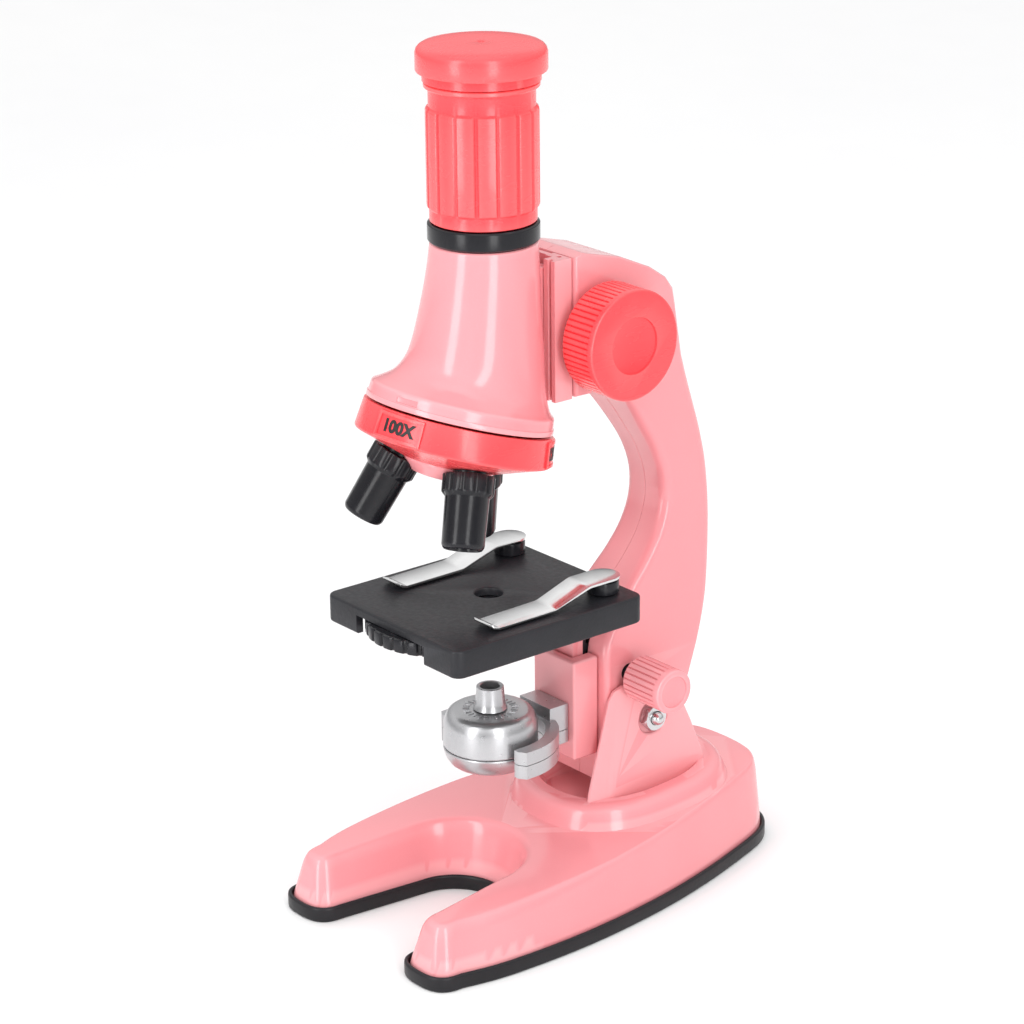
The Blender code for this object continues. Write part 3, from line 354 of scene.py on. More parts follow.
class Nodes:
    """A material's node tree with short ways to add to it."""

    def __init__(self, name, **sockets):
        self.material = bpy.data.materials.new(name)
        self.material.use_nodes = True
        self.tree = self.material.node_tree
        self.shader = self.tree.nodes["Principled BSDF"]
        for socket, value in sockets.items():
            self.shader.inputs[socket.replace("_", " ")].default_value = value
        self.place = self.add("ShaderNodeTexCoord").outputs["Object"]

    def add(self, kind, **values):
        node = self.tree.nodes.new(kind)
        for key, value in values.items():
            setattr(node, key, value)
        return node

    def link(self, source, target):
        self.tree.links.new(source, target)

    def noise(self, scale, detail=3.0, stretch=None, roughness=0.5):
        node = self.add("ShaderNodeTexNoise")
        node.inputs["Scale"].default_value = scale
        node.inputs["Detail"].default_value = detail
        node.inputs["Roughness"].default_value = roughness
        if stretch:
            mapping = self.add("ShaderNodeMapping")
            mapping.inputs["Scale"].default_value = stretch
            self.link(self.place, mapping.inputs["Vector"])
            self.link(mapping.outputs["Vector"], node.inputs["Vector"])
        else:
            self.link(self.place, node.inputs["Vector"])
        return node.outputs["Fac"]

    def ranged(self, value, low, high, start=0.3, end=0.7):
        node = self.add("ShaderNodeMapRange")
        for socket, number in (("From Min", start), ("From Max", end), ("To Min", low), ("To Max", high)):
            node.inputs[socket].default_value = number
        self.link(value, node.inputs["Value"])
        return node.outputs["Result"]

    def mix(self, factor, one, two, blend="MIX"):
        node = self.add("ShaderNodeMix", data_type="RGBA", blend_type=blend)
        sockets = [s for s in node.inputs if s.enabled]
        self.link(factor, sockets[0])
        for socket, colour in zip(sockets[1:], (one, two)):
            if isinstance(colour, tuple):
                socket.default_value = (*colour, 1.0)
            else:
                self.link(colour, socket)
        return next(s for s in node.outputs if s.enabled)

    def add_up(self, one, two, how="ADD"):
        node = self.add("ShaderNodeMath", operation=how)
        for socket, value in zip(node.inputs, (one, two)):
            if isinstance(value, float):
                socket.default_value = value
            else:
                self.link(value, socket)
        return node.outputs["Value"]

    def bump(self, height, strength, distance=0.0001, under=None):
        node = self.add("ShaderNodeBump")
        node.inputs["Strength"].default_value = strength
        node.inputs["Distance"].default_value = distance
        self.link(height, node.inputs["Height"])
        if under:
            self.link(under, node.inputs["Normal"])
        return node.outputs["Normal"]

    def colour(self, source):
        self.link(source, self.shader.inputs["Base Color"])

    def rough(self, source):
        self.link(source, self.shader.inputs["Roughness"])

    def normal(self, source):
        self.link(source, self.shader.inputs["Normal"])

    def edges(self, low=0.505, high=0.56):
        """0 on flats, 1 on convex edges, where a painted highlight lightens a moulding."""
        geometry = self.add("ShaderNodeNewGeometry")
        return self.ranged(geometry.outputs["Pointiness"], 0.0, 1.0, low, high)


def glossy_plastic(name, colour, pale, deep, roughness):
    """Bright moulded plastic: faint flow marks, orange peel, fine rub marks and a painted highlight that
    pales its edges.
    """
    n = Nodes(name, IOR=1.5, Coat_Weight=0.15, Coat_Roughness=0.08)
    flow = n.noise(34.0, 2.0, (1.0, 1.0, 0.45))
    body = n.mix(n.ranged(flow, 0.0, 1.0), colour, deep)
    body = n.mix(n.ranged(n.noise(2600.0, 2.0), 0.0, 0.08, 0.5, 0.8), body, pale)
    # painted highlight: convex edges are mixed up to 45% towards the pale colour
    edge = n.add_up(n.edges(), 0.45, "MULTIPLY")
    n.colour(n.mix(edge, body, pale))
    rub = n.ranged(n.noise(420.0, 4.0, (1.0, 0.25, 1.0)), roughness, roughness + 0.05)
    n.rough(rub)
    peel = n.bump(n.noise(500.0, 1.0), 0.03, 0.00003)
    n.normal(n.bump(n.noise(5200.0, 2.0), 0.02, 0.00001, peel))
    return n.material


def black_plastic(name, shade, roughness, grain, grain_scale):
    """Near-black plastic with spark-eroded grain, faint dust and a painted highlight that pales its
    edges.
    """
    n = Nodes(name, IOR=1.36)
    dust = n.ranged(n.noise(90.0, 4.0), 0.0, 1.0)
    body = n.mix(dust, shade, tuple(c * 1.45 for c in shade))
    # painted highlight: convex edges are mixed up to 35% towards a paler grey
    edge = n.add_up(n.edges(0.51, 0.6), 0.35, "MULTIPLY")
    pale = tuple(min(1.0, c * 4.0 + 0.01) for c in shade)
    n.colour(n.mix(edge, body, pale))
    n.rough(n.ranged(n.noise(grain_scale * 0.5, 3.0), roughness, roughness + 0.1))
    coarse = n.bump(n.noise(grain_scale, 2.0, roughness=0.6), grain, 0.00012)
    n.normal(n.bump(n.noise(grain_scale * 2.7, 2.0), grain * 0.5, 0.00005, coarse))
    return n.material


def silver_paint(name):
    """Metallic lacquer: flake sparkle under a satin coat."""
    n = Nodes(name, Metallic=0.82, Coat_Weight=0.25, Coat_Roughness=0.18)
    flake = n.ranged(n.noise(9000.0, 1.0), 0.0, 1.0, 0.35, 0.65)
    body = n.mix(flake, (0.47, 0.47, 0.485), (0.54, 0.54, 0.55))
    cloud = n.ranged(n.noise(60.0, 3.0), 0.0, 0.2)
    n.colour(n.mix(cloud, body, (0.44, 0.44, 0.455)))
    n.rough(n.ranged(n.noise(700.0, 3.0), 0.27, 0.32))
    n.normal(n.bump(n.noise(6500.0, 1.0), 0.03, 0.00002))
    return n.material


def polished_metal(name, colour, roughness, stretch, brushed):
    """Plated metal with fine draw lines and slight smears."""
    n = Nodes(name, Metallic=1.0)
    lines = n.noise(900.0, 3.0, stretch)
    smear = n.ranged(n.noise(130.0, 4.0), 0.0, 1.0)
    n.colour(n.mix(smear, colour, tuple(c * 0.9 for c in colour)))
    n.rough(n.add_up(n.ranged(lines, roughness, roughness + 0.1), n.ranged(smear, 0.0, 0.06, 0.0, 1.0)))
    n.normal(n.bump(lines, brushed, 0.00003))
    return n.material


def lens_glass(name, tint):
    n = Nodes(name, IOR=1.52, Transmission_Weight=1.0, Coat_Weight=0.3, Coat_Roughness=0.02)
    n.colour(n.mix(n.ranged(n.noise(220.0, 3.0), 0.0, 0.25), tint, tuple(c * 0.92 for c in tint)))
    n.rough(n.ranged(n.noise(500.0, 4.0), 0.015, 0.05))
    return n.material


def ink(name, shade):
    n = Nodes(name)
    n.colour(n.mix(n.ranged(n.noise(1800.0, 3.0), 0.0, 1.0), shade,
                   tuple(c * 1.8 + 0.004 for c in shade)))
    n.rough(n.ranged(n.noise(1500.0, 2.0), 0.4, 0.6))
    n.normal(n.bump(n.noise(4000.0, 2.0), 0.2, 0.00003))
    return n.material


PINK = glossy_plastic("pink_plastic", (0.865, 0.30, 0.325), (0.93, 0.47, 0.49), (0.845, 0.28, 0.305),
                      0.15)
CORAL = glossy_plastic("coral_plastic", (0.95, 0.058, 0.07), (1.0, 0.17, 0.17), (0.92, 0.05, 0.062), 0.24)
BLACK = black_plastic("black_plastic", (0.0075, 0.0075, 0.0095), 0.16, 0.03, 2400.0)
GRAINED = black_plastic("grained_black", (0.012, 0.012, 0.0145), 0.36, 0.45, 1500.0)
RUBBERY = black_plastic("rim_black", (0.008, 0.0075, 0.009), 0.32, 0.12, 2000.0)
SILVER = silver_paint("silver_paint")
CHROME = polished_metal("clip_chrome", (0.80, 0.80, 0.80), 0.1, (1.0, 0.06, 1.0), 0.05)
STEEL = polished_metal("plated_steel", (0.66, 0.66, 0.67), 0.16, (0.3, 1.0, 1.0), 0.12)
NICKEL = polished_metal("contact_nickel", (0.62, 0.59, 0.52), 0.22, (1.0, 1.0, 0.2), 0.15)
GLASS = lens_glass("lens_glass", (0.93, 0.97, 0.98))
MIRROR = polished_metal("mirror_face", (0.88, 0.89, 0.90), 0.02, (1.0, 1.0, 1.0), 0.0)
CELL = glossy_plastic("cell_wrap", (0.02, 0.03, 0.045), (0.06, 0.075, 0.09), (0.012, 0.018, 0.03), 0.3)
INK = ink("label_ink", (0.008, 0.006, 0.007))


# --- base

BASE_FRONT, BASE_BACK = -43.6, 84
NOTCH_CENTRE, NOTCH_RADII = (0, -12), (13.2, 12.4)
NOSE_Y, NOSE_SIDES = -36, (15.5, 33.3)
SIDE_POINTS = ((33.3, -36), (35.3, -26), (36.08, -14), (36.08, 0), (35, 15), (32.6, 32), (28.9, 48.5),
               (24.6, 63), (20.9, 73.4), (17.2, 78.9), (12.4, 82.2), (6.6, 83.6), (0, BASE_BACK))
SIDE_START = -32.5
NOTCH_LEAN, WALL_START, FOOT_Z = 7, 1.15, 2.7
TILT_Y, TILT_Z = 42, 43.5
PLINTH_Y, PLINTH_HALF = 42.5, (24, 28)


def base_outline(notch_inset=0, side_inset=lambda y: 0):
    """The U-shaped foot, with its walls moved in by the given insets."""
    radii = (NOTCH_RADII[0] + notch_inset, NOTCH_RADII[1] + notch_inset)
    notch = arc(NOTCH_CENTRE, radii, 90, 0, 20)
    nose_inset = side_inset(NOSE_Y)
    inner, outer = NOSE_SIDES[0] + notch_inset, NOSE_SIDES[1] - nose_inset
    start = NOSE_Y + 0.45 * nose_inset
    reach = start - (BASE_FRONT + nose_inset)
    middle, half_width = (inner + outer) / 2, (outer - inner) / 2
    first = Vector(notch[-1])
    run = [tuple(first.lerp(Vector((inner, start)), k / 6)) for k in range(1, 6)]
    nose = []
    for step in range(25):
        t = math.pi * (1 + step / 24)
        c, s = math.cos(t), math.sin(t)
        nose.append((middle + half_width * math.copysign(abs(c) ** 0.75, c),
                     start - reach * abs(s) ** 0.75))
    line = smooth_line(SIDE_POINTS, 5)
    ends = [*line, (-line[-2][0], line[-2][1])]
    side = []
    for i in range(1, len(line)):
        along = (Vector(ends[i + 1]) - Vector(ends[i - 1])).normalized()
        normal = Vector((along.y, -along.x))
        side.append(tuple(Vector(line[i]) - normal * side_inset(line[i][1])))
    side[-1] = (0, side[-1][1])
    side = [p for p, whole in zip(side, line[1:]) if whole[1] > SIDE_START]
    return mirrored([*notch, *run, *nose, *side])


def base_top(y):
    """The height of the foot's upper face, which rises towards the back."""
    return 17.8 + 0.06 * y


def side_lean(y):
    """How far the foot's side wall leans in, more towards its toes."""
    forward = min(1, max(0, (15 - y) / 45))
    return 4 + 2.3 * forward


def shell_ring(lean, rise):
    """One level of the foot: shares of the walls' lean and of the height."""
    outline = base_outline(
        WALL_START + lean * (NOTCH_LEAN - WALL_START),
        lambda y: WALL_START + lean * (side_lean(y) - WALL_START))
    return [(x, y, FOOT_Z + rise * (base_top(y) - FOOT_Z)) for x, y in outline]


def plinth_ring(shrink, height, count=112):
    """A squarish oval round the cheeks, at a height above the foot's upper face."""
    ring = []
    for i in range(count):
        t = math.tau * i / count
        c, s = math.cos(t), math.sin(t)
        x = (PLINTH_HALF[0] - shrink) * math.copysign(abs(c) ** 0.8, c)
        y = PLINTH_Y + (PLINTH_HALF[1] - shrink) * math.copysign(abs(s) ** 0.8, s)
        ring.append((x, y, base_top(y) + height))
    return ring


def beyond(name, a, b, c, depth=20, reach=80):
    """A block on the far side of the plane through three points, for trimming a corner."""
    a, b, c = Vector(a), Vector(b), Vector(c)
    along = (b - a).normalized()
    normal = along.cross(c - a).normalized()
    across = normal.cross(along)
    corners = [a + along * u * reach + across * v * reach
               for u, v in ((-1, -1), (1, -1), (1, 1), (-1, 1))]
    return loft(name, [corners, [p + normal * depth for p in corners]])


CHEEK_OUTLINE = ((21, 20), (22.2, 27), (28.6, 50.6), (30.2, 53), (33, 53.9), (44, 53.6),
                 (48.2, 51.8), (50.6, 48.6), (55.2, 39), (59.4, 29), (61, 20))


def make_base():
    shoulder = [(0, 0), (0.12, 0.2), (0.25, 0.4), (0.38, 0.6), (0.485, 0.76), (0.51, 0.795)]
    shoulder += [(0.555, 0.84), (0.60, 0.88), (0.66, 0.92), (0.71, 0.948), (0.77, 0.968), (0.84, 0.985),
                 (0.92, 0.996), (1, 1)]
    shell = loft("foot_shell", [shell_ring(lean, rise) for lean, rise in shoulder])
    rise = ((-0.6, -4), (-0.25, 0), (0.1, 0.9), (0.75, 2.4), (1.3, 3.7), (1.7, 4.45), (2.2, 5),
            (2.9, 5.4), (3.7, 5.57), (4.4, 5.6))
    join(shell, loft("plinth", [plinth_ring(s, h) for s, h in rise]))
    well = [plinth_ring(s, h) for s, h in ((5.6, 6.6), (6.3, 5.75), (6.9, 5.35), (7.4, 4.6), (8.8, 2))]
    flat = [(x, y, 21.6) for x, y, z in plinth_ring(9.6, 0)]
    cut(shell, loft("well", [*well, flat][::-1]))
    for side in (-1, 1):
        low, high = sorted((side * 11.2, side * 14))
        cheek = slab(f"cheek_{side}", rounded(CHEEK_OUTLINE, 1.6), low, high, 0.6, SIDE)
        trim = [(side * 14.05, 29.6, 27), (side * 14.05, 36, 50.6), (side * 12.5, 23.4, 27)]
        if side < 0:
            trim = [trim[1], trim[0], trim[2]]
        cut(cheek, beyond("cheek_trim", *trim))
        soften(cheek, 0.35, 2, 12)
        join(shell, cheek)
    across = 32
    cut(shell, rod("bolt_hole", 2.1, across, (-across / 2, TILT_Y, TILT_Z), ALONG_X))
    pocket = [(0, -1.2), (4.6, -1.2), (4.6, -0.3), (5.2, 0.3), (0, 0.3)]
    cut(shell, lathe("nut_pocket", pocket, (13.9, TILT_Y, TILT_Z), ALONG_X, 64))
    gate = lathe("gate_mark", [(0, 0.55), (0.8, 0.5), (1.15, 0.2), (1.3, -0.5), (0, -0.5)],
                 (4.6, 24.4, 21.6), steps=32)
    join(shell, gate)
    soften(shell, 0.45, 3, 28)
    piece(shell, PINK, "base", "base_plastic", "base_shell", sharp=40)


def make_rim():
    outline = base_outline()
    levels = ((1, 0), (0.45, 0.05), (0.12, 0.3), (0, 0.75), (0, 3.3), (0.1, 3.75), (0.4, 4), (0.75, 4),
              (1, 3.8), (1.1, 3.2), (1.1, 2.4))
    rings = []
    for depth, z in levels:
        rings.append([(x, y, z) for x, y in (inset(outline, depth) if depth else outline)])
    rim = loft("foot_rim", rings)
    door = ((-16.8, 8.1, -1), (16.8, 72.7, 3.4))
    cut(rim, block("door_way", *door, 0))
    for i, (x, y) in enumerate(((-24.3, -28), (24.3, -28), (0, 77))):
        cut(rim, rod(f"head_room_{i}", 2.6, 2.5, (x, y, -1), steps=32))
        cut(rim, rod(f"shank_room_{i}", 1.3, 5, (x, y, -1), steps=24))
    piece(rim, RUBBERY, "base", "rim_plastic", "base_plate", sharp=40)


# --- arm

HUB = (
    ((29, 27.2), (43, 27.8), 10.8, 1.2), ((29, 31), (50.2, 32.5), 10.8, 1.2),
    ((29, 50), (57.6, 50.5), 10.8, 1.3),
)
BOW = (
    ((29, 58), (60.6, 58.6), 10.7, 1.6), ((29.4, 64), (62.8, 65.2), 10.4, 2),
    ((32.6, 70), (64.7, 71.8), 9.9, 2.5), ((38.2, 77.2), (66.1, 78.8), 9.2, 3),
    ((44, 83.4), (66.9, 86), 8.6, 3.1), ((48.4, 89.6), (67.2, 93), 8.2, 3.1),
    ((50.9, 96.6), (66.9, 100), 8, 3.1), ((50.9, 104), (65.9, 107.5), 8, 3.1),
    ((48.2, 111.6), (63.9, 115.5), 8.1, 3.1), ((43.8, 118.8), (61.2, 122.8), 8.6, 3),
    ((39.2, 125.4), (58.1, 130), 9.4, 2.6), ((34.4, 131.2), (55, 137), 10.4, 2),
)
HEAD = (
    ((28, 133), (53, 144), 11, 1.4), ((19.4, 133.2), (51.9, 150), 11, 1.2),
    ((19.1, 133.6), (51.9, 150.3), 11, 1.2),
    ((19.1, 142), (51, 155), 11, 1.2), ((19.1, 151), (48.6, 158.2), 11, 1.2),
    ((19.1, 158), (43.6, 161.6), 11, 1.2), ((19.1, 163.5), (34, 165.9), 11, 1.2),
    ((19.1, 167.6), (23, 168.7), 11, 1), ((19.3, 168.2), (21.8, 169), 10.7, 0.9),
)
ARM_SCREWS = ((42, 155), (58.6, 104), (51, 58))
COARSE_Y, COARSE_Z = 26.5, 148
FINE_Y, FINE_Z = 36.5, 56.3


def arm_section(section, side, first_x, wall=0, steps=6):
    """Half a rounded section of the arm, from the parting plane round its side."""
    inner, outer = Vector(section[0:2]), Vector(section[2:4])
    width, radius = section[4] - wall, section[5]
    along = (outer - inner).normalized()
    inner = inner + along * wall
    outer = outer - along * wall
    corner = arc((width - radius, 0), radius, -90, 0, steps)
    seam = 0 if wall else 0.16
    rows = [(first_x, inner + along * seam)]
    if seam:
        rows.append((first_x + seam, inner))
    rows += [(x, inner + along * (radius + v)) for x, v in corner]
    rows += [(x, outer - along * (radius + v)) for x, v in reversed(corner)]
    if seam:
        rows.append((first_x + seam, outer))
    rows.append((first_x, outer - along * seam))
    return [(side * x, p.x, p.y) for x, p in rows]


def flat_sections(rows):
    return [(*inner, *outer, width, radius) for inner, outer, width, radius in rows]


def make_arm():
    sections = [*flat_sections(HUB), *smooth_line(flat_sections(BOW), 4), *flat_sections(HEAD)]
    for side, label in ((-1, "left"), (1, "right")):
        half = loft(f"bow_{label}", [arm_section(s, side, 0.05) for s in sections])
        inside = [arm_section(s, side, -1, 2.2, 2) for s in flat_sections((*HUB, *BOW, *HEAD))[1:-1:2]]
        hollow = loft("hollow", inside)
        bosses = [rod(f"boss_{i}", r, 30, (-15, y, z), ALONG_X, 32)
                  for i, (y, z, r) in enumerate(((TILT_Y, TILT_Z, 4.2),
                                                 *((y, z, 3.3) for y, z in ARM_SCREWS)))]
        cut(hollow, *bosses)
        tools = []
        for y, z, radius in ((TILT_Y, TILT_Z, 2.15), (COARSE_Y, COARSE_Z, 2.35), (FINE_Y, FINE_Z, 2.35)):
            tools.append(rod("bore", radius, 34, (-17, y, z), ALONG_X, 32))
        tools.append(block("rack_way", (-3.5, 17, 137.2), (3.5, 26, 166), 0))
        tools.append(block("slide_way", (-3.5, 27, 42), (3.5, 33, 72), 0))
        for y, z in ARM_SCREWS:
            if side > 0:
                tools.append(rod("pilot", 1.3, 7, (-1, y, z), ALONG_X, 24))
            else:
                tools.append(rod("pilot", 1.3, 20, (-16, y, z), ALONG_X, 24))
                tools.append(rod("sink", 2.6, 10, (-16, y, z), ALONG_X, 40))
        cut(half, *tools, hollow)
        piece(half, PINK, "arm", "arm_plastic", f"arm_{label}_half", sharp=35, weighted=True)


def make_guides():
    upper = block("upper_way", (-10, 13.5, 132.8), (10, 18.8, 168.2), 0)
    cut(upper, block("rail_way", (-5.9, 12, 130), (5.9, 16.1, 170), 0),
        block("rack_slot", (-3.4, 12, 130), (3.4, 20, 170), 0))
    join(upper, block("bridge", (-9, 17.2, 164.6), (9, 18.7, 167.9), 0))
    for side in (-1, 1):
        low, high = sorted((side * 7.4, side * 8.6))
        cut(upper, block("rail_slit", (low, 12, 131), (high, 14.6, 170), 0))
        low, high = sorted((side * 6.4, side * 7.6))
        cut(upper, block("core_hole", (low, 16.9, 166.6), (high, 18, 170), 0))
    soften(upper, 0.35, 3, 40)
    piece(upper, PINK, "arm", "arm_plastic", "upper_guide", sharp=38, weighted=True)
    lower = block("lower_way", (-8, 20.6, 35.2), (8, 28.7, 62), 0)
    cut(lower, block("slide_groove", (-4.2, 23.3, 40), (4.2, 30, 64), 0))
    soften(lower, 0.7, 4, 40)
    piece(lower, PINK, "arm", "arm_plastic", "lower_guide", sharp=38, weighted=True)


LAMP_Z = 43.6


def yoke_outline():
    outer = arc((0, 0), 17.2, 0, 180, 48)
    inner = arc((0, 0), 13.8, 180, 0, 48)
    return [(15.4, -3.6), (17.2, -2.3), *outer, (-17.2, -2.3), (-15.4, -3.6), (-13.8, -3.6), *inner,
            (13.8, -3.6)]


def make_yoke():
    seam = 0.08
    for label, low, high, top in (("upper", LAMP_Z + seam, 47.2, 50.6),
                                  ("lower", 40, LAMP_Z - seam, LAMP_Z - seam)):
        half = slab(f"yoke_{label}", yoke_outline(), low, high, 0)
        join(half, block("bracket", (-6, 14.4, low), (6, 20.3, top), 0))
        cut(half, rod("bores", 1.5, 32, (-16, 0, LAMP_Z), ALONG_X, 32))
        soften(half, 0.35, 3, 40)
        piece(half, SILVER, "arm", "silver_paint", f"lamp_yoke_{label}", sharp=38, weighted=True)


def make_screws():
    """Pan heads with a cross recess, for the three arm screws and the four under the foot."""
    nodes = ("arm_screw_top", "arm_screw_middle", "arm_screw_bottom")
    spots = [(f"bow_screw_{i}", node, "arm", (-7.3, y, z), ALONG_X, 10)
             for i, (node, (y, z)) in enumerate(zip(nodes, ARM_SCREWS))]
    for i, (node, x, y) in enumerate((("base_screw_left", -24.3, -28), ("base_screw_right", 24.3, -28),
                                      ("base_screw_rear", 0, 77), ("battery_door_screw", 0, 11.6))):
        spots.append((f"foot_screw_{i}", node, "base", (x, y, 0.2), ORIGIN, 8.5))
    for name, node, body, where, turn, length in spots:
        turns = int((length - 3) / 0.7)
        profile = [(0, length), (0.3, length - 0.3), (0.8, length - 1.2),
                   *reversed(thread(turns, 1.6, 0.7, 0.82, 1)), (0.95, 1.2), (2, 1.05), (2.1, 0.8),
                   (1.95, 0.25), (1.7, 0), (0, 0)]
        screw = lathe(name, profile, where, turn, 40)
        tools = []
        for size in ((2.6, 0.5, 1.4), (0.5, 2.6, 1.4)):
            slot = bpy.data.meshes.new("slot")
            work = bmesh.new()
            box = to_frame(where, turn) @ Matrix.Diagonal((*[side * MM for side in size], 1))
            bmesh.ops.create_cube(work, size=1, matrix=box)
            work.to_mesh(slot)
            work.free()
            tools.append(added("slot", slot))
        cut(screw, *tools)
        piece(screw, STEEL, body, "screw_steel", node)


def make_bolt():
    left = -14.3
    profile = [(0, 31.6), (0.7, 31.45), (1.25, 31.1), (1.6, 30.5), (1.75, 29.8),
               *reversed(thread(9, 24, 0.6, 1.62, 1.8)), (1.8, 23.5), (1.8, 0), (3.1, 0), (3.1, -1),
               (2.6, -1.8), (1.6, -2.15), (0, -2.2)]
    bolt = lathe("pivot_bolt", profile, (left, TILT_Y, TILT_Z), ALONG_X, 64)
    cut(bolt, block("driver_slot", (left - 3, TILT_Y - 3.4, TILT_Z - 0.4),
                    (left - 1.5, TILT_Y + 3.4, TILT_Z + 0.4), 0))
    piece(bolt, STEEL, "base", "screw_steel", "tilt_bolt")
    hexagon = arc((TILT_Y, TILT_Z), 3.75, 12, 372, 6)[:-1]
    nut = slab("pivot_nut", hexagon, 13, 15.3, 0, SIDE)
    dome = lathe("dome", [(0, -1), (4.2, -1), (4.2, 0.6), (3.65, 1.6), (3.3, 2.31), (0, 2.31)],
                 (13, TILT_Y, TILT_Z), ALONG_X, 48)
    combine(nut, [dome], "INTERSECT")
    cut(nut, rod("nut_bore", 1.93, 6, (11, TILT_Y, TILT_Z), ALONG_X, 48))
    soften(nut, 0.12, 2, 30)
    piece(nut, STEEL, "base", "screw_steel", "tilt_nut", weighted=True)


# --- focus drives

GRIP = ((0, 0), (0.09, 0), (0.2, 0.9), (0.55, 1), (0.9, 0.9))


def make_knob(name, node, body, look, slot, ends, radius, grip, dish, side, axis):
    """A grip wheel: thin grooves that stop at a smooth band, and a shallow bowl in its face."""
    inner, outer = ends
    length = outer - inner
    ribs, depth, band = grip
    bowl, bowl_depth = dish
    levels = ((0, radius - 0.9, radius - 0.95), (0.25, radius - 0.3, radius - 0.8 * depth),
              (0.7, radius, radius - depth), (length - band - 0.5, radius, radius - depth),
              (length - band, radius, radius - 0.02), (length - 0.55, radius, radius),
              (length - 0.25, radius - 0.1, radius - 0.1), (length - 0.06, radius - 0.32, radius - 0.32),
              (length, radius - 0.6, radius - 0.6))
    y, z = axis
    turn = ALONG_X if side > 0 else (0, -math.pi / 2, 0)
    where = (side * inner, y, z)
    knob = ribbed(name, ribs, levels, GRIP, where, turn)
    hollow = [(0, length - bowl_depth)]
    for k in range(1, 9):
        r = bowl * k / 8
        hollow.append((r, length - bowl_depth + 0.62 * bowl_depth * (k / 8) ** 2))
    hollow += [(bowl + 0.12, length - 0.06), (bowl + 0.3, length + 0.4), (0, length + 0.4)]
    bore = lathe("bore", [(0, -1), (2.15, -1), (2.15, length - 3), (0, length - 3)], where, turn, 40)
    cut(knob, lathe("bowl", hollow, where, turn, ROUND), bore)
    piece(knob, look, body, slot, node)


def make_drives():
    for side, label in ((1, "right"), (-1, "left")):
        make_knob(f"coarse_grip_{label}", f"coarse_knob_{label}", "coarse_drive", CORAL, "coral_plastic",
                  (13.2, 24.4), 13.8, (60, 0.5, 1.5), (7, 1.5), side, (COARSE_Y, COARSE_Z))
        make_knob(f"fine_grip_{label}", f"fine_knob_{label}", "fine_drive", PINK, "arm_plastic",
                  (14.6, 28.2), 5.75, (24, 0.42, 1.9), (4, 1), side, (FINE_Y, FINE_Z))


# --- tube and turret

TURRET_TILT = math.radians(17.2)
TURRET_TURN = math.radians(15)
APEX_Z = 158.8
SEAM_DEPTH = 28
APEX = (0, 0, APEX_Z)
TUBE_TOP, TUBE_BORE = 174.1, 10.9
COLLAR_TOP, EYEPIECE_TOP, CAP_TOP = 179, 213, 222

# centre y, centre z, radius and tilt in degrees, down the tube's flare
FLARE = ((0, 174.1, 13, 0), (-0.3, 167.5, 13.6, 2), (-0.95, 160, 14.4, 4.5), (-1.95, 150, 15.8, 9),
         (-3, 143.6, 17, 13), (-4.6, 139.3, 18.7, 15.5), (-6.3, 137.2, 20.8, 16.8))
FLANGE = ((23.35, 21.75), (23.55, 22.2), (23.85, 22.5), (24.2, 22.62), (26.2, 22.8), (26.32, 22.85),
          (26.42, 23.05), (26.6, 23.1), (27.45, 23.1), (27.62, 23.05), (27.72, 22.9))


def turret_point(depth):
    """The point at a depth from the apex along the turret's axis, as y and z."""
    return -depth * math.sin(TURRET_TILT), APEX_Z - depth * math.cos(TURRET_TILT)


def turret_frame():
    """The turret's own axes, turned to its rest place."""
    tilt = Euler((-TURRET_TILT, 0, 0)).to_matrix()
    return tilt @ Matrix.Rotation(TURRET_TURN, 3, "Z")


def ring_about(centre_y, centre_z, radius, tilt, count=ROUND):
    ring = []
    for i in range(count):
        t = math.tau * i / count
        across = radius * math.sin(t)
        ring.append((radius * math.cos(t), centre_y + across * math.cos(tilt),
                     centre_z - across * math.sin(tilt)))
    return ring


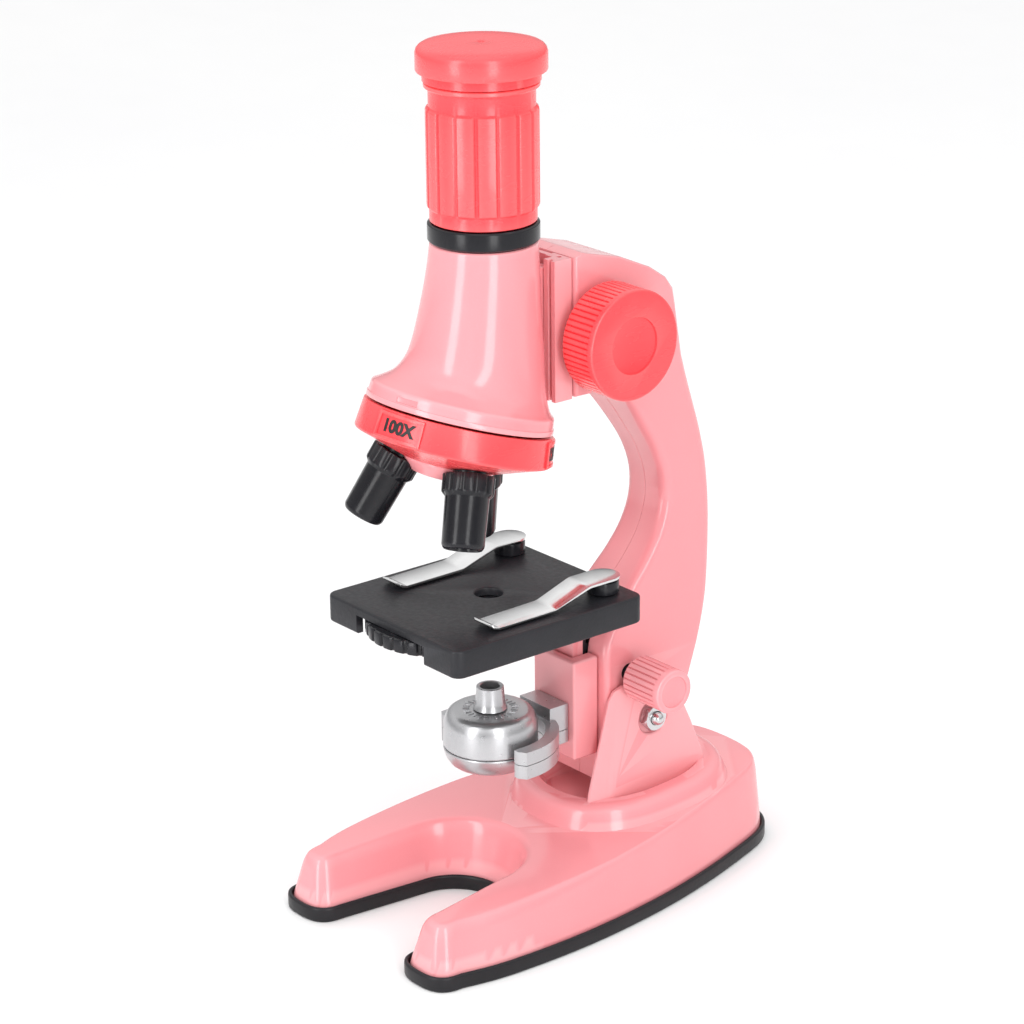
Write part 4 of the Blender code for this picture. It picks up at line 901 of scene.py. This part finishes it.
def make_tube():
    top = [(0, TUBE_TOP, 12.7, 0), (0, TUBE_TOP - 0.3, 13, 0)]
    flare = [*top, *smooth_line(FLARE, 5)[1:]]
    flange = [(*turret_point(depth), r, 17.2) for depth, r in FLANGE]
    outside = [ring_about(y, z, r, math.radians(t)) for y, z, r, t in (*flare, *flange)]
    tube = loft("tube", outside[::-1])
    inside = [ring_about(y, z, r - 2, math.radians(t)) for y, z, r, t in smooth_line(FLARE, 3)[:-2]]
    inside[0] = ring_about(0, TUBE_TOP + 1, TUBE_BORE, 0)
    cut(tube, loft("hollow", inside[::-1]))
    join(tube, block("rail", (-5.5, 11.6, 133.5), (5.5, 15.7, 166), 0.3))
    axis_y, axis_z = turret_point(SEAM_DEPTH + 2)
    window = block("window", (-3.1, -25, -26.1), (3.1, -22.25, -24.7), 0.3)
    window.data.transform(Matrix.Translation((0, -OPTIC_Y * MM, 0)))
    window.data.transform(to_frame(APEX, turret_frame()))
    cut(tube, rod("bore", TUBE_BORE, 40, (0, 0, 136), steps=ROUND),
        rod("screw_hole", 1.5, 10, (0, axis_y, axis_z), (-TURRET_TILT, 0, 0), 32),
        rod("light_way", 4.5, 20, (0, 0, 120), steps=48), window)
    piece(tube, PINK, "tube", "arm_plastic", "body_tube", sharp=32)
    profile = [(13.5, COLLAR_TOP - 0.4), (13.5, TUBE_TOP + 0.7), (13.1, TUBE_TOP + 0.3),
               (TUBE_BORE, TUBE_TOP + 0.3), (TUBE_BORE, COLLAR_TOP), (13.1, COLLAR_TOP)]
    profile = rounded(profile, (0.2, 0.2, 0.1, 0.1, 0.1, 0.2), steps=3)
    piece(lathe("collar", profile), BLACK, "tube", "black_plastic", "tube_collar", sharp=32)
    y, z = turret_point(SEAM_DEPTH + 13.6)
    profile = [(0, 11.9), (0.5, 11.8), (0.8, 10.6), *thread(15, 9.8, -0.6, 0.92, 1.1), (1.05, 0),
               (3.1, -0.3), (3.2, -0.5), (3.2, -1.2),
               (2.9, -1.65), (2.2, -1.95), (0, -2)]
    screw = lathe("hub_screw", profile, (0, y, z), (-TURRET_TILT, 0, 0), 48)
    slots = []
    for size in ((3.4, 0.6), (0.6, 3.4)):
        slot = block("cross", (-size[0] / 2, -size[1] / 2, -2.5), (size[0] / 2, size[1] / 2, -1.1), 0)
        slot.data.transform(Matrix.Translation((0, -OPTIC_Y * MM, 0)))
        slot.data.transform(to_frame((0, y, z), (-TURRET_TILT, 0, 0)))
        slots.append(slot)
    cut(screw, *slots)
    piece(screw, STEEL, "tube", "screw_steel", "turret_screw")


RING_TOP, RING_TOP_RADIUS = -SEAM_DEPTH - 0.3, 23.4
RING_SLOPE = 0.8 / 6.8
BORE_DEPTH, OBJECTIVE_DEPTH = 33.5, 41.5  # from the apex, down an objective's axis


def ring_radius(height, proud):
    """The radius of the turret's conical side at a height below the apex, plus a little."""
    return RING_TOP_RADIUS + (RING_TOP - height) * RING_SLOPE + proud


def curved_panel(name, centre, half, top, bottom, inner, outer, ease=0):
    """A panel that follows the turret's side between two heights, its outer rim eased."""
    rings = []
    steps = 12
    for height, drop in ((top, ease), (top - 0.4 * ease, 0.3 * ease), (top - ease, 0), (bottom + ease, 0),
                         (bottom + 0.4 * ease, 0.3 * ease), (bottom, ease)):
        reach = ring_radius(height, outer) - drop
        front = arc((0, 0), reach, centre - half, centre + half, steps)
        back = arc((0, 0), ring_radius(height, inner), centre + half, centre - half, steps)
        ring = [(x, y, height) for x, y in (*front, *back)]
        if not rings or ease or height != rings[-1][0][2]:
            rings.append(ring)
    return loft(name, rings, APEX, turret_frame())


def wrapped_number(text, size, centre, middle, proud, thickness):
    """Raised digits bent round the turret's side."""
    curve = bpy.data.curves.new("number", "FONT")
    curve.body = text
    curve.size = size
    curve.align_x = "CENTER"
    curve.align_y = "CENTER"
    curve.extrude = thickness / 2
    curve.offset = 0.2
    curve.resolution_u = 5
    made = added("number", curve)
    bpy.context.view_layer.update()
    mesh = bpy.data.meshes.new_from_object(made.evaluated_get(bpy.context.evaluated_depsgraph_get()))
    bpy.data.objects.remove(made)
    work = bmesh.new()
    work.from_mesh(mesh)
    bmesh.ops.remove_doubles(work, verts=work.verts, dist=0.002)
    matrix = to_frame(APEX, turret_frame())
    for v in work.verts:
        height = middle + v.co.y
        radius = ring_radius(height, proud + v.co.z)
        angle = math.radians(centre) + v.co.x / radius
        v.co = matrix @ (Vector((*polar(radius, angle), height)) * MM)
    work.to_mesh(mesh)
    work.free()
    return added(f"magnification_{text[:-1]}", mesh)


def make_turret():
    turn = turret_frame()
    top = RING_TOP
    profile = [(22.6, top), (23.2, top), (23.37, top - 0.06), (23.42, top - 0.2), (24.2, top - 6.6),
               (24.22, top - 6.85), (24.17, top - 7.12), (24, top - 7.36), (12.6, top - 11.32),
               (12.3, top - 11.4), (4.4, top - 11.8), (4.2, top - 11.7), (4.2, top - 9.2),
               (12, top - 9), (21.8, top - 5.6), (21.6, top)]
    ring = lathe("turret_ring", profile, APEX, turn, 144)
    hub = [(4, top - 0.2), (5.2, top - 0.2), (5.2, top - 11.6), (1.5, top - 11.6), (1.5, top - 0.2)]
    join(ring, lathe("hub", hub, APEX, turn, 48))
    apex = Vector(APEX)
    for i in range(3):
        centre = 90 + 120 * i
        t = math.radians(centre)
        lean = math.sin(TURRET_TILT)
        out = Vector((math.cos(t) * lean, math.sin(t) * lean, -math.cos(TURRET_TILT)))
        down = (turn @ out).normalized()
        spin = down.to_track_quat("Z", "Y").to_matrix()
        cut(ring, rod("bore", 4.4, 12, tuple(apex + down * BORE_DEPTH), spin, 48))
        label = centre + 60
        join(ring, curved_panel("label", label, 16, top - 0.45, top - 6.85, -1, 0.52, 0.18))
        cut(ring, curved_panel("label_field", label, 13.6, top - 1.25, top - 6.05, 0.28, 1.5))
        make_objective(i + 1, apex, down, spin)
        number = wrapped_number(("400X", "100X", "1200X")[i], 4.1, label, top - 3.65, 0.27, 0.24)
        piece(number, INK, "turret", "black_plastic")
    piece(ring, CORAL, "turret", "coral_plastic", "turret")
    boss = [(5.4, top - 9.6), (10.8, top - 9.6), (11.4, top - 11.5), (11.3, top - 12.05),
            (8.8, top - 14.7), (8.2, top - 14.95), (5.9, top - 15), (5.4, top - 14.5)]
    boss = lathe("turret_boss", rounded(boss, 0.25, steps=2), APEX, turn)
    piece(boss, PINK, "turret", "coral_plastic")


def make_objective(number, apex, down, spin):
    """A glossy barrel with a fluted collar."""
    start = apex + down * OBJECTIVE_DEPTH
    length = 18.6
    levels = ((-3.2, 4, 4), (0.55, 4, 4), (0.6, 5.9, 5.7), (0.7, 6.25, 5.95), (0.95, 6.35, 6),
              (4.6, 6.35, 6), (5, 6.3, 6), (5.3, 6.1, 5.9), (6, 5.42, 5.42), (6.15, 5.38, 5.38),
              (length - 1.3, 5.2, 5.2), (length - 0.9, 5.12, 5.12), (length - 0.45, 4.9, 4.9),
              (length - 0.12, 4.62, 4.62), (length, 4.35, 4.35))
    pattern = ((0, 0), (0.12, 0.1), (0.22, 0.8), (0.36, 0.97), (0.5, 1), (0.64, 0.97), (0.78, 0.8),
               (0.88, 0.1))
    barrel = ribbed(f"objective_barrel_{number}", 12, levels, pattern, tuple(start), spin)
    cut(barrel, rod("bore", 2.6, 40, tuple(start - down * 10), spin, 48),
        lathe("seat", [(0, length - 2.4), (3.4, length - 2.4), (3.4, length - 0.5), (3.7, length + 0.2),
                       (3.7, length + 1), (0, length + 1)], tuple(start), spin, 64))
    piece(barrel, BLACK, "turret", "black_plastic", f"objective_{number}")
    dome = [(0, 1.7), (0.8, 1.66), (1.8, 1.45), (2.5, 1.15), (3.1, 0.8), (3.1, 0.05), (0, 0.05)]
    glass = lathe(f"front_lens_{number}", dome, tuple(start + down * (length - 2.1)), spin, 64)
    piece(glass, GLASS, "turret", "lens_glass", f"objective_lens_{number}")


# --- eyepiece

def make_eyepiece():
    rest = COLLAR_TOP + 0.3
    lip = EYEPIECE_TOP - 0.3
    levels = ((rest, 12.7, 12.7), (rest + 0.2, 12.9, 12.9), (182.3, 12.9, 12.9), (182.5, 13, 12.9),
              (182.9, 13.4, 12.95), (183.3, 13.5, 13), (205.9, 13.5, 13), (206.4, 13.35, 12.95),
              (206.8, 12.9, 12.75), (207, 12.75, 12.75), (210.8, 12.75, 12.75), (211.2, 12.9, 12.9),
              (211.45, 13.6, 13.6), (211.7, 13.8, 13.8), (lip - 0.25, 13.8, 13.8), (lip, 13.5, 13.5))
    pattern = ((0, 0), (0.04, 0), (0.1, 0.75), (0.14, 1), (0.32, 0.96), (0.5, 0.94), (0.68, 0.96),
               (0.86, 1), (0.9, 0.75), (0.96, 0))
    barrel = ribbed("eyepiece", 16, levels, pattern, ORIGIN)
    join(barrel, rod("plug", TUBE_BORE - 0.4, 32, (0, 0, rest - 31), steps=ROUND))
    cut(barrel, rod("bore", 8.8, 80, (0, 0, 145), steps=64),
        rod("mouth", 10.6, 10, (0, 0, 207), steps=64))
    piece(barrel, CORAL, "eyepiece", "coral_plastic", "eyepiece_barrel", sharp=25)
    for name, node, radius, height, rise, edge in (("eye_glass", "eye_lens", 10.2, 207.3, 3, 0.9),
                                                   ("field_glass", "field_lens", 8.4, 181, 3.4, 1.2)):
        dome = [(0, rise)]
        for k in range(1, 9):
            share = k / 8
            dome.append((radius * share, rise - (rise - edge) * share * share))
        glass = lathe(name, [*dome, (radius, 0.3), (radius - 0.3, 0), (0, 0)], (0, 0, height))
        piece(glass, GLASS, "eyepiece", "lens_glass", node)


def make_cap():
    radius = 15.65
    profile = [(0, CAP_TOP - 0.75), (0.45, CAP_TOP - 0.72), (0.7, CAP_TOP - 0.4), (1.1, CAP_TOP - 0.12),
               (1.8, CAP_TOP), (8, CAP_TOP), (12.2, CAP_TOP - 0.22), (14.2, CAP_TOP - 0.6),
               (14.9, CAP_TOP - 1), (15.4, CAP_TOP - 1.6), (radius, CAP_TOP - 2.4), (radius, 215.6),
               (15.5, 215.28), (15.2, 215.2), (14.2, 215.2), (14.1, 215.3), (14.1, EYEPIECE_TOP),
               (10.2, EYEPIECE_TOP), (10.2, 211.4), (10, 211.2), (8.8, 211.2), (8.6, 211.4),
               (8.6, 219.6), (0, 219.6)]
    cap = lathe("eyepiece_cap", profile, steps=128)
    piece(cap, CORAL, "dust_cap", "coral_plastic", "dust_cap", sharp=34)


# --- stage

STAGE_TOP, STAGE_SKIRT = 84.1, 77
STAGE_ENDS, STAGE_HALF, STAGE_CORNER = (-30.8, 28.2), 26.3, 2.8
WHEEL_Y, WHEEL_RADIUS, HOLE_CIRCLE = -14, 19.47, 14
CLIP_X, CLIP_Y = 18.3, 21.5


def box_outline(half_x, low_y, high_y, radius, steps=10):
    corners = ((half_x - radius, high_y - radius, 0), (-half_x + radius, high_y - radius, 90),
               (-half_x + radius, low_y + radius, 180), (half_x - radius, low_y + radius, 270))
    return [p for x, y, start in corners for p in arc((x, y), radius, start, start + 90, steps)]


def make_stage():
    front, back = STAGE_ENDS
    outline = box_outline(STAGE_HALF, front, back, STAGE_CORNER)
    plate = slab("stage", outline, STAGE_SKIRT, STAGE_TOP, 0.65, steps=4)
    inner = box_outline(STAGE_HALF - 2, front + 2, back - 2, 1.5)
    gap = box_outline(13.5, front - 2, front + 3, 1.2)
    tools = [slab("room", inner, STAGE_SKIRT - 1, STAGE_TOP - 2.1, 0),
             slab("wheel_way", gap, STAGE_SKIRT - 2, 81.9, 0),
             block("slide_way", (-4.3, 25, STAGE_SKIRT - 1), (4.3, 30, 81.95), 0),
             lathe("light_hole", [(0, 78), (3.5, 78), (3.5, STAGE_TOP - 0.5), (3.65, STAGE_TOP - 0.2),
                                  (4.1, STAGE_TOP + 0.1), (4.1, 90), (0, 90)], steps=64),
             rod("pivot_hole", 1, 1.5, (0, WHEEL_Y, 81.5), steps=24)]
    tools += [rod("stud_hole", 1.8, 10, (side * CLIP_X, CLIP_Y, 78), steps=32) for side in (-1, 1)]
    cut(plate, *tools)
    ribs = [block("rib", (x - 0.5, -12, 79.4), (x + 0.5, 14, 82.2), 0) for x in (-21, 21)]
    join(plate, *ribs)
    piece(plate, GRAINED, "stage", "black_plastic", "stage_plate", sharp=35)
    slide = block("slide", (-3.9, 23.7, 44.3), (3.9, 27.2, 81.7), 0.35, 2)
    join(slide, block("slide_foot", (-12, 22, 79.2), (12, 25.9, 81.7), 0.35, 2))
    soften(slide, 0.25, 2, 50)
    piece(slide, PINK, "stage", "arm_plastic", "stage_slide", sharp=38, weighted=True)
    profile = [(0, 5.8), (0.7, 5.8), (0.8, 5.7), (0.8, 4.5), (1.6, 4.5), (1.6, 1), (3.5, 0.95),
               (3.6, 0.85), (3.6, 0.4), (3.3, 0.1), (2.9, 0), (0, 0)]
    pin = lathe("pivot_pin", profile, (0, WHEEL_Y, 77), steps=48)
    piece(pin, STEEL, "stage", "screw_steel", "wheel_pivot")


def make_wheel():
    radius = WHEEL_RADIUS
    levels = ((0, radius - 0.45, radius - 1), (0.2, radius - 0.12, radius - 0.75),
              (0.5, radius, radius - 0.6), (3.1, radius, radius - 0.6),
              (3.35, radius - 0.12, radius - 0.7), (3.5, radius - 0.4, radius - 0.95))
    pattern = ((0, 0), (0.1, 0.05), (0.2, 0.9), (0.3, 1), (0.7, 1), (0.8, 0.9), (0.9, 0.05))
    wheel = ribbed("disc_wheel", 32, levels, pattern, (0, WHEEL_Y, 78.2))
    holes = [rod("bore", 1.9, 6, (0, WHEEL_Y, 77), steps=48)]
    for angle, size in ((0, 3), (60, 1.2), (120, 1.8), (180, 2.8), (240, 2.2), (300, 3.2)):
        x, y = polar(HOLE_CIRCLE, math.radians(90 + angle))
        where = (x, WHEEL_Y + y)
        holes.append(rod("hole", size, 6, (*where, 77), steps=48))
        sink = [(0, 77), (size + 0.8, 77), (size + 0.8, 78.6), (size + 0.5, 78.9), (0, 78.9)]
        holes.append(lathe("counterbore", sink, (*where, 0), steps=48))
    cut(wheel, *holes)
    piece(wheel, BLACK, "filter_wheel", "black_plastic", "filter_wheel")


CLIP_LINE = ((26, 88.2), (14, 88.2), (3.6, 84.8), (-14.4, 84.6), (-15.9, 85.1), (-16.9, 85.9))


def make_clips():
    """Spring strips: a bent sheet trimmed to a round end, and the post that holds it."""
    thick = 0.6
    line = rounded(CLIP_LINE, (0, 5, 6, 2, 1.5, 0), closed=False, steps=6)
    upper = []
    for i, point in enumerate(line):
        before, after = Vector(line[max(i - 1, 0)]), Vector(line[min(i + 1, len(line) - 1)])
        along = (after - before).normalized()
        across = Vector((along.y, -along.x))
        upper.append(tuple(Vector(point) + across * -thick * (1 if along.x > 0 else -1)))
    lifted = [(y, max(z, point[1] + 0.35)) for (y, z), point in zip(upper, line)]
    for side, label in ((1, "right"), (-1, "left")):
        strip = slab(f"spring_clip_{label}", [*line, *reversed(lifted)], side * CLIP_X - 4.2,
                     side * CLIP_X + 4.2, 0, SIDE)
        tip = arc((-2.4, -15.4), 1.4, 180, 270, 6) + arc((2.4, -15.4), 1.4, 270, 360, 6)
        end = [*arc((0, CLIP_Y), 4.2, 0, 180, 32), *tip]
        shape = slab("shape", [(side * CLIP_X + x, y) for x, y in end], 80, 92, 0)
        combine(strip, [shape], "INTERSECT")
        soften(strip, 0.11, 2, 40)
        piece(strip, CHROME, f"clip_{label}", "clip_chrome", f"clip_{label}", sharp=35)
        profile = [(0, 3.6), (3.75, 3.6), (3.95, 3.5), (4, 3.3), (4, 0.5), (3.8, 0.3), (1.5, 0.3),
                   (1.5, -3.2), (0.9, -3.9), (0, -3.9)]
        post = lathe(f"clip_post_{label}", profile, (side * CLIP_X, CLIP_Y, STAGE_TOP), steps=64)
        piece(post, BLACK, f"clip_{label}", "black_plastic", f"clip_{label}_stud", sharp=32)


# --- lamp

def make_lamp():
    top, radius = 53, 12
    upper = [(2.8, top), (9.2, top), (9.9, top - 0.15), (10.6, top - 0.6), (11.1, top - 1.3),
             (11.5, top - 2.2), (11.8, top - 3.3), (radius, LAMP_Z + 0.45), (radius - 0.2, LAMP_Z + 0.12),
             (10.4, LAMP_Z + 0.12), (10.2, top - 2.6), (9, top - 1.6), (2.8, top - 1.6)]
    lower = [(0, 41), (9.4, 41), (10.4, 42), (10.4, LAMP_Z - 0.12), (radius - 0.2, LAMP_Z - 0.12),
             (radius, LAMP_Z - 0.4), (11.8, 42.1), (11.3, 40.7), (10.5, 39.5), (9.6, 38.8), (8.7, 38.5),
             (8.35, 38.5), (8.3, 38.6), (8.3, 39.6), (0, 39.6)]
    shells = [lathe(f"lamp_shell_{label}", profile)
              for label, profile in (("upper", upper), ("lower", lower))]
    ribs = []
    for k in range(28):
        t = math.tau * k / 28
        rib = block("rib", (5.3, -0.17, top - 0.6), (7, 0.17, top + 0.22), 0.08, 1)
        rib.data.transform(Matrix.Translation((0, -OPTIC_Y * MM, 0)))
        rib.data.transform(to_frame(ORIGIN, (0, 0, t)))
        ribs.append(rib)
    join(shells[0], *ribs)
    for shell, label in zip(shells, ("upper", "lower")):
        cut(shell, rod("pin_bores", 1.5, 30, (-15, 0, LAMP_Z), ALONG_X, 32))
        piece(shell, SILVER, "lamp", "silver_paint", f"lamp_{label}", sharp=32)
    profile = [(3.3, 59.2), (3.45, 59.05), (3.5, 58.6), (3.75, 55), (3.95, 54), (4.25, 53.5), (4.3, 53.3),
               (2.5, 53.3), (2.5, 59), (2.7, 59.2)]
    piece(lathe("lamp_spout", profile, steps=80), SILVER, "lamp", "silver_paint", "lamp_nozzle")
    dome = [(0, 57.6), (0.6, 57.5), (1.2, 57.2), (1.7, 56.7), (2, 56), (2.1, 55.4), (2.1, 48.2),
            (2.1, 47), (0, 47)]
    piece(lathe("light_bulb", dome, steps=48), GLASS, "lamp", "lens_glass", "lamp_led")
    dish = [(0, 39.3), (8, 39.3), (8, 38.7), (7.8, 38.6)]
    dish += [(7.8 * (1 - k / 6), 38.9 - 0.3 * (1 - k / 6) ** 2) for k in range(1, 7)]
    piece(lathe("mirror_disc", dish), MIRROR, "lamp", "mirror_face", "lamp_mirror")
    for side, label in ((1, "right"), (-1, "left")):
        start = 8.8 if side > 0 else -15.8
        pin = rod(f"hinge_pin_{label}", 1.2, 7, (start, 0, LAMP_Z), ALONG_X, 48, 0.2)
        piece(pin, STEEL, "lamp", "screw_steel", f"lamp_pin_{label}")


# --- the pieces that stay as they are

def dress_frame():
    looks = {
        "battery_door": RUBBERY, "battery_left": CELL, "battery_right": CELL, "contact_bridge": NICKEL,
        "contact_plate": NICKEL, "contact_spring": NICKEL, "coarse_pinion": BLACK, "fine_pinion": BLACK,
        "tube_rack": BLACK, "stage_rack": BLACK,
    }
    for node, look in looks.items():
        data = frame["nodes"][node].data
        data.materials.clear()
        data.materials.append(look)


make_base()
make_rim()
make_bolt()
make_arm()
make_guides()
make_yoke()
make_screws()
make_drives()
make_tube()
make_turret()
make_eyepiece()
make_cap()
make_stage()
make_wheel()
make_clips()
make_lamp()
dress_frame()


# --- floor, light and camera

def floor_material():
    n = Nodes("pale_floor")
    n.colour(n.mix(n.ranged(n.noise(3.0, 3.0), 0.0, 1.0), (0.93, 0.93, 0.935), (0.95, 0.95, 0.95)))
    n.rough(n.ranged(n.noise(40.0, 2.0), 0.55, 0.65))
    return n.material


FLOOR_HALF = 4.0  # metres


def make_floor():
    mesh = bpy.data.meshes.new("floor")
    corners = [(x * FLOOR_HALF, y * FLOOR_HALF, 0.0) for x, y in ((-1, -1), (1, -1), (1, 1), (-1, 1))]
    mesh.from_pydata(corners, [], [(0, 1, 2, 3)])
    mesh.materials.append(floor_material())
    added("floor", mesh)


VIEW_SIDE, VIEW_YAW, VIEW_DOWN, VIEW_ROLL = (math.radians(a) for a in (51.602, -0.449, 19.88, -0.642))
CAMERA_PLACE = (0.597472, -0.493716, 0.380808)
LENS, SENSOR = 116.31, 36.0


def make_camera():
    aim = VIEW_SIDE + VIEW_YAW
    level = math.cos(VIEW_DOWN)
    back = Vector((math.sin(aim) * level, -math.cos(aim) * level, math.sin(VIEW_DOWN)))
    right = Vector((math.cos(aim), math.sin(aim), 0.0))
    up = back.cross(right)
    rolled_right = right * math.cos(VIEW_ROLL) + up * math.sin(VIEW_ROLL)
    rolled_up = up * math.cos(VIEW_ROLL) - right * math.sin(VIEW_ROLL)
    data = bpy.data.cameras.new("camera")
    data.sensor_width = SENSOR
    data.lens = LENS
    data.clip_start = 0.01
    data.clip_end = 60.0
    camera = added("camera", data)
    turn = Matrix((rolled_right, rolled_up, back)).transposed().to_4x4()
    camera.matrix_world = Matrix.Translation(CAMERA_PLACE) @ turn
    SCENE.camera = camera


# the lights' sizes and places are in metres, their powers in watts
PANEL_SIZE, PANEL_LOW, PANEL_DISTANCE, PANEL_POWER = (0.13, 0.62), 0.02, 0.48, 1.3
TOP_SIZE, TOP_HEIGHT, TOP_POWER = (0.7, 0.7), 1.0, 0.8


def soft_box(name, size, power, matrix):
    data = bpy.data.lights.new(name, "AREA")
    data.shape = "RECTANGLE"
    data.size, data.size_y = size
    data.energy = power
    light = added(name, data)
    light.matrix_world = matrix
    light.visible_camera = False


def make_lights():
    """Two upright boxes, at angles from the camera's direction, and one overhead."""
    for name, side in (("left_box", -46.0), ("right_box", 20.0)):
        angle = VIEW_SIDE + math.radians(side)
        direction = Vector((math.sin(angle), -math.cos(angle), 0.0))
        middle = Vector((0.0, OPTIC_Y * MM, PANEL_LOW + PANEL_SIZE[1] / 2))
        spot = direction * PANEL_DISTANCE + middle
        facing = direction.to_track_quat("Z", "Y").to_matrix().to_4x4()
        soft_box(name, PANEL_SIZE, PANEL_POWER, Matrix.Translation(spot) @ facing)
    soft_box("top_box", TOP_SIZE, TOP_POWER, Matrix.Translation((0.0, 0.0, TOP_HEIGHT)))


ROOM_STRENGTH = 1.12
# height of the direction looked in, and the room's colour there
ROOM_SHADES = ((0.0, (0.28, 0.28, 0.285, 1.0)), (0.6, (1.0, 1.0, 1.0, 1.0)))


def make_world():
    """A white room, darker towards the horizon so that gloss and metal show their shape."""
    world = bpy.data.worlds.new("room")
    world.use_nodes = True
    tree = world.node_tree
    shade = tree.nodes["Background"]
    place = tree.nodes.new("ShaderNodeTexCoord")
    split = tree.nodes.new("ShaderNodeSeparateXYZ")
    ramp = tree.nodes.new("ShaderNodeValToRGB")
    tree.links.new(place.outputs["Generated"], split.inputs["Vector"])
    tree.links.new(split.outputs["Z"], ramp.inputs["Fac"])
    tree.links.new(ramp.outputs["Color"], shade.inputs["Color"])
    for stop, (height, colour) in zip(ramp.color_ramp.elements, ROOM_SHADES):
        stop.position = height
        stop.color = colour
    shade.inputs["Strength"].default_value = ROOM_STRENGTH
    SCENE.world = world


make_floor()
make_camera()
make_lights()
make_world()
SCENE.view_settings.view_transform = "Standard"
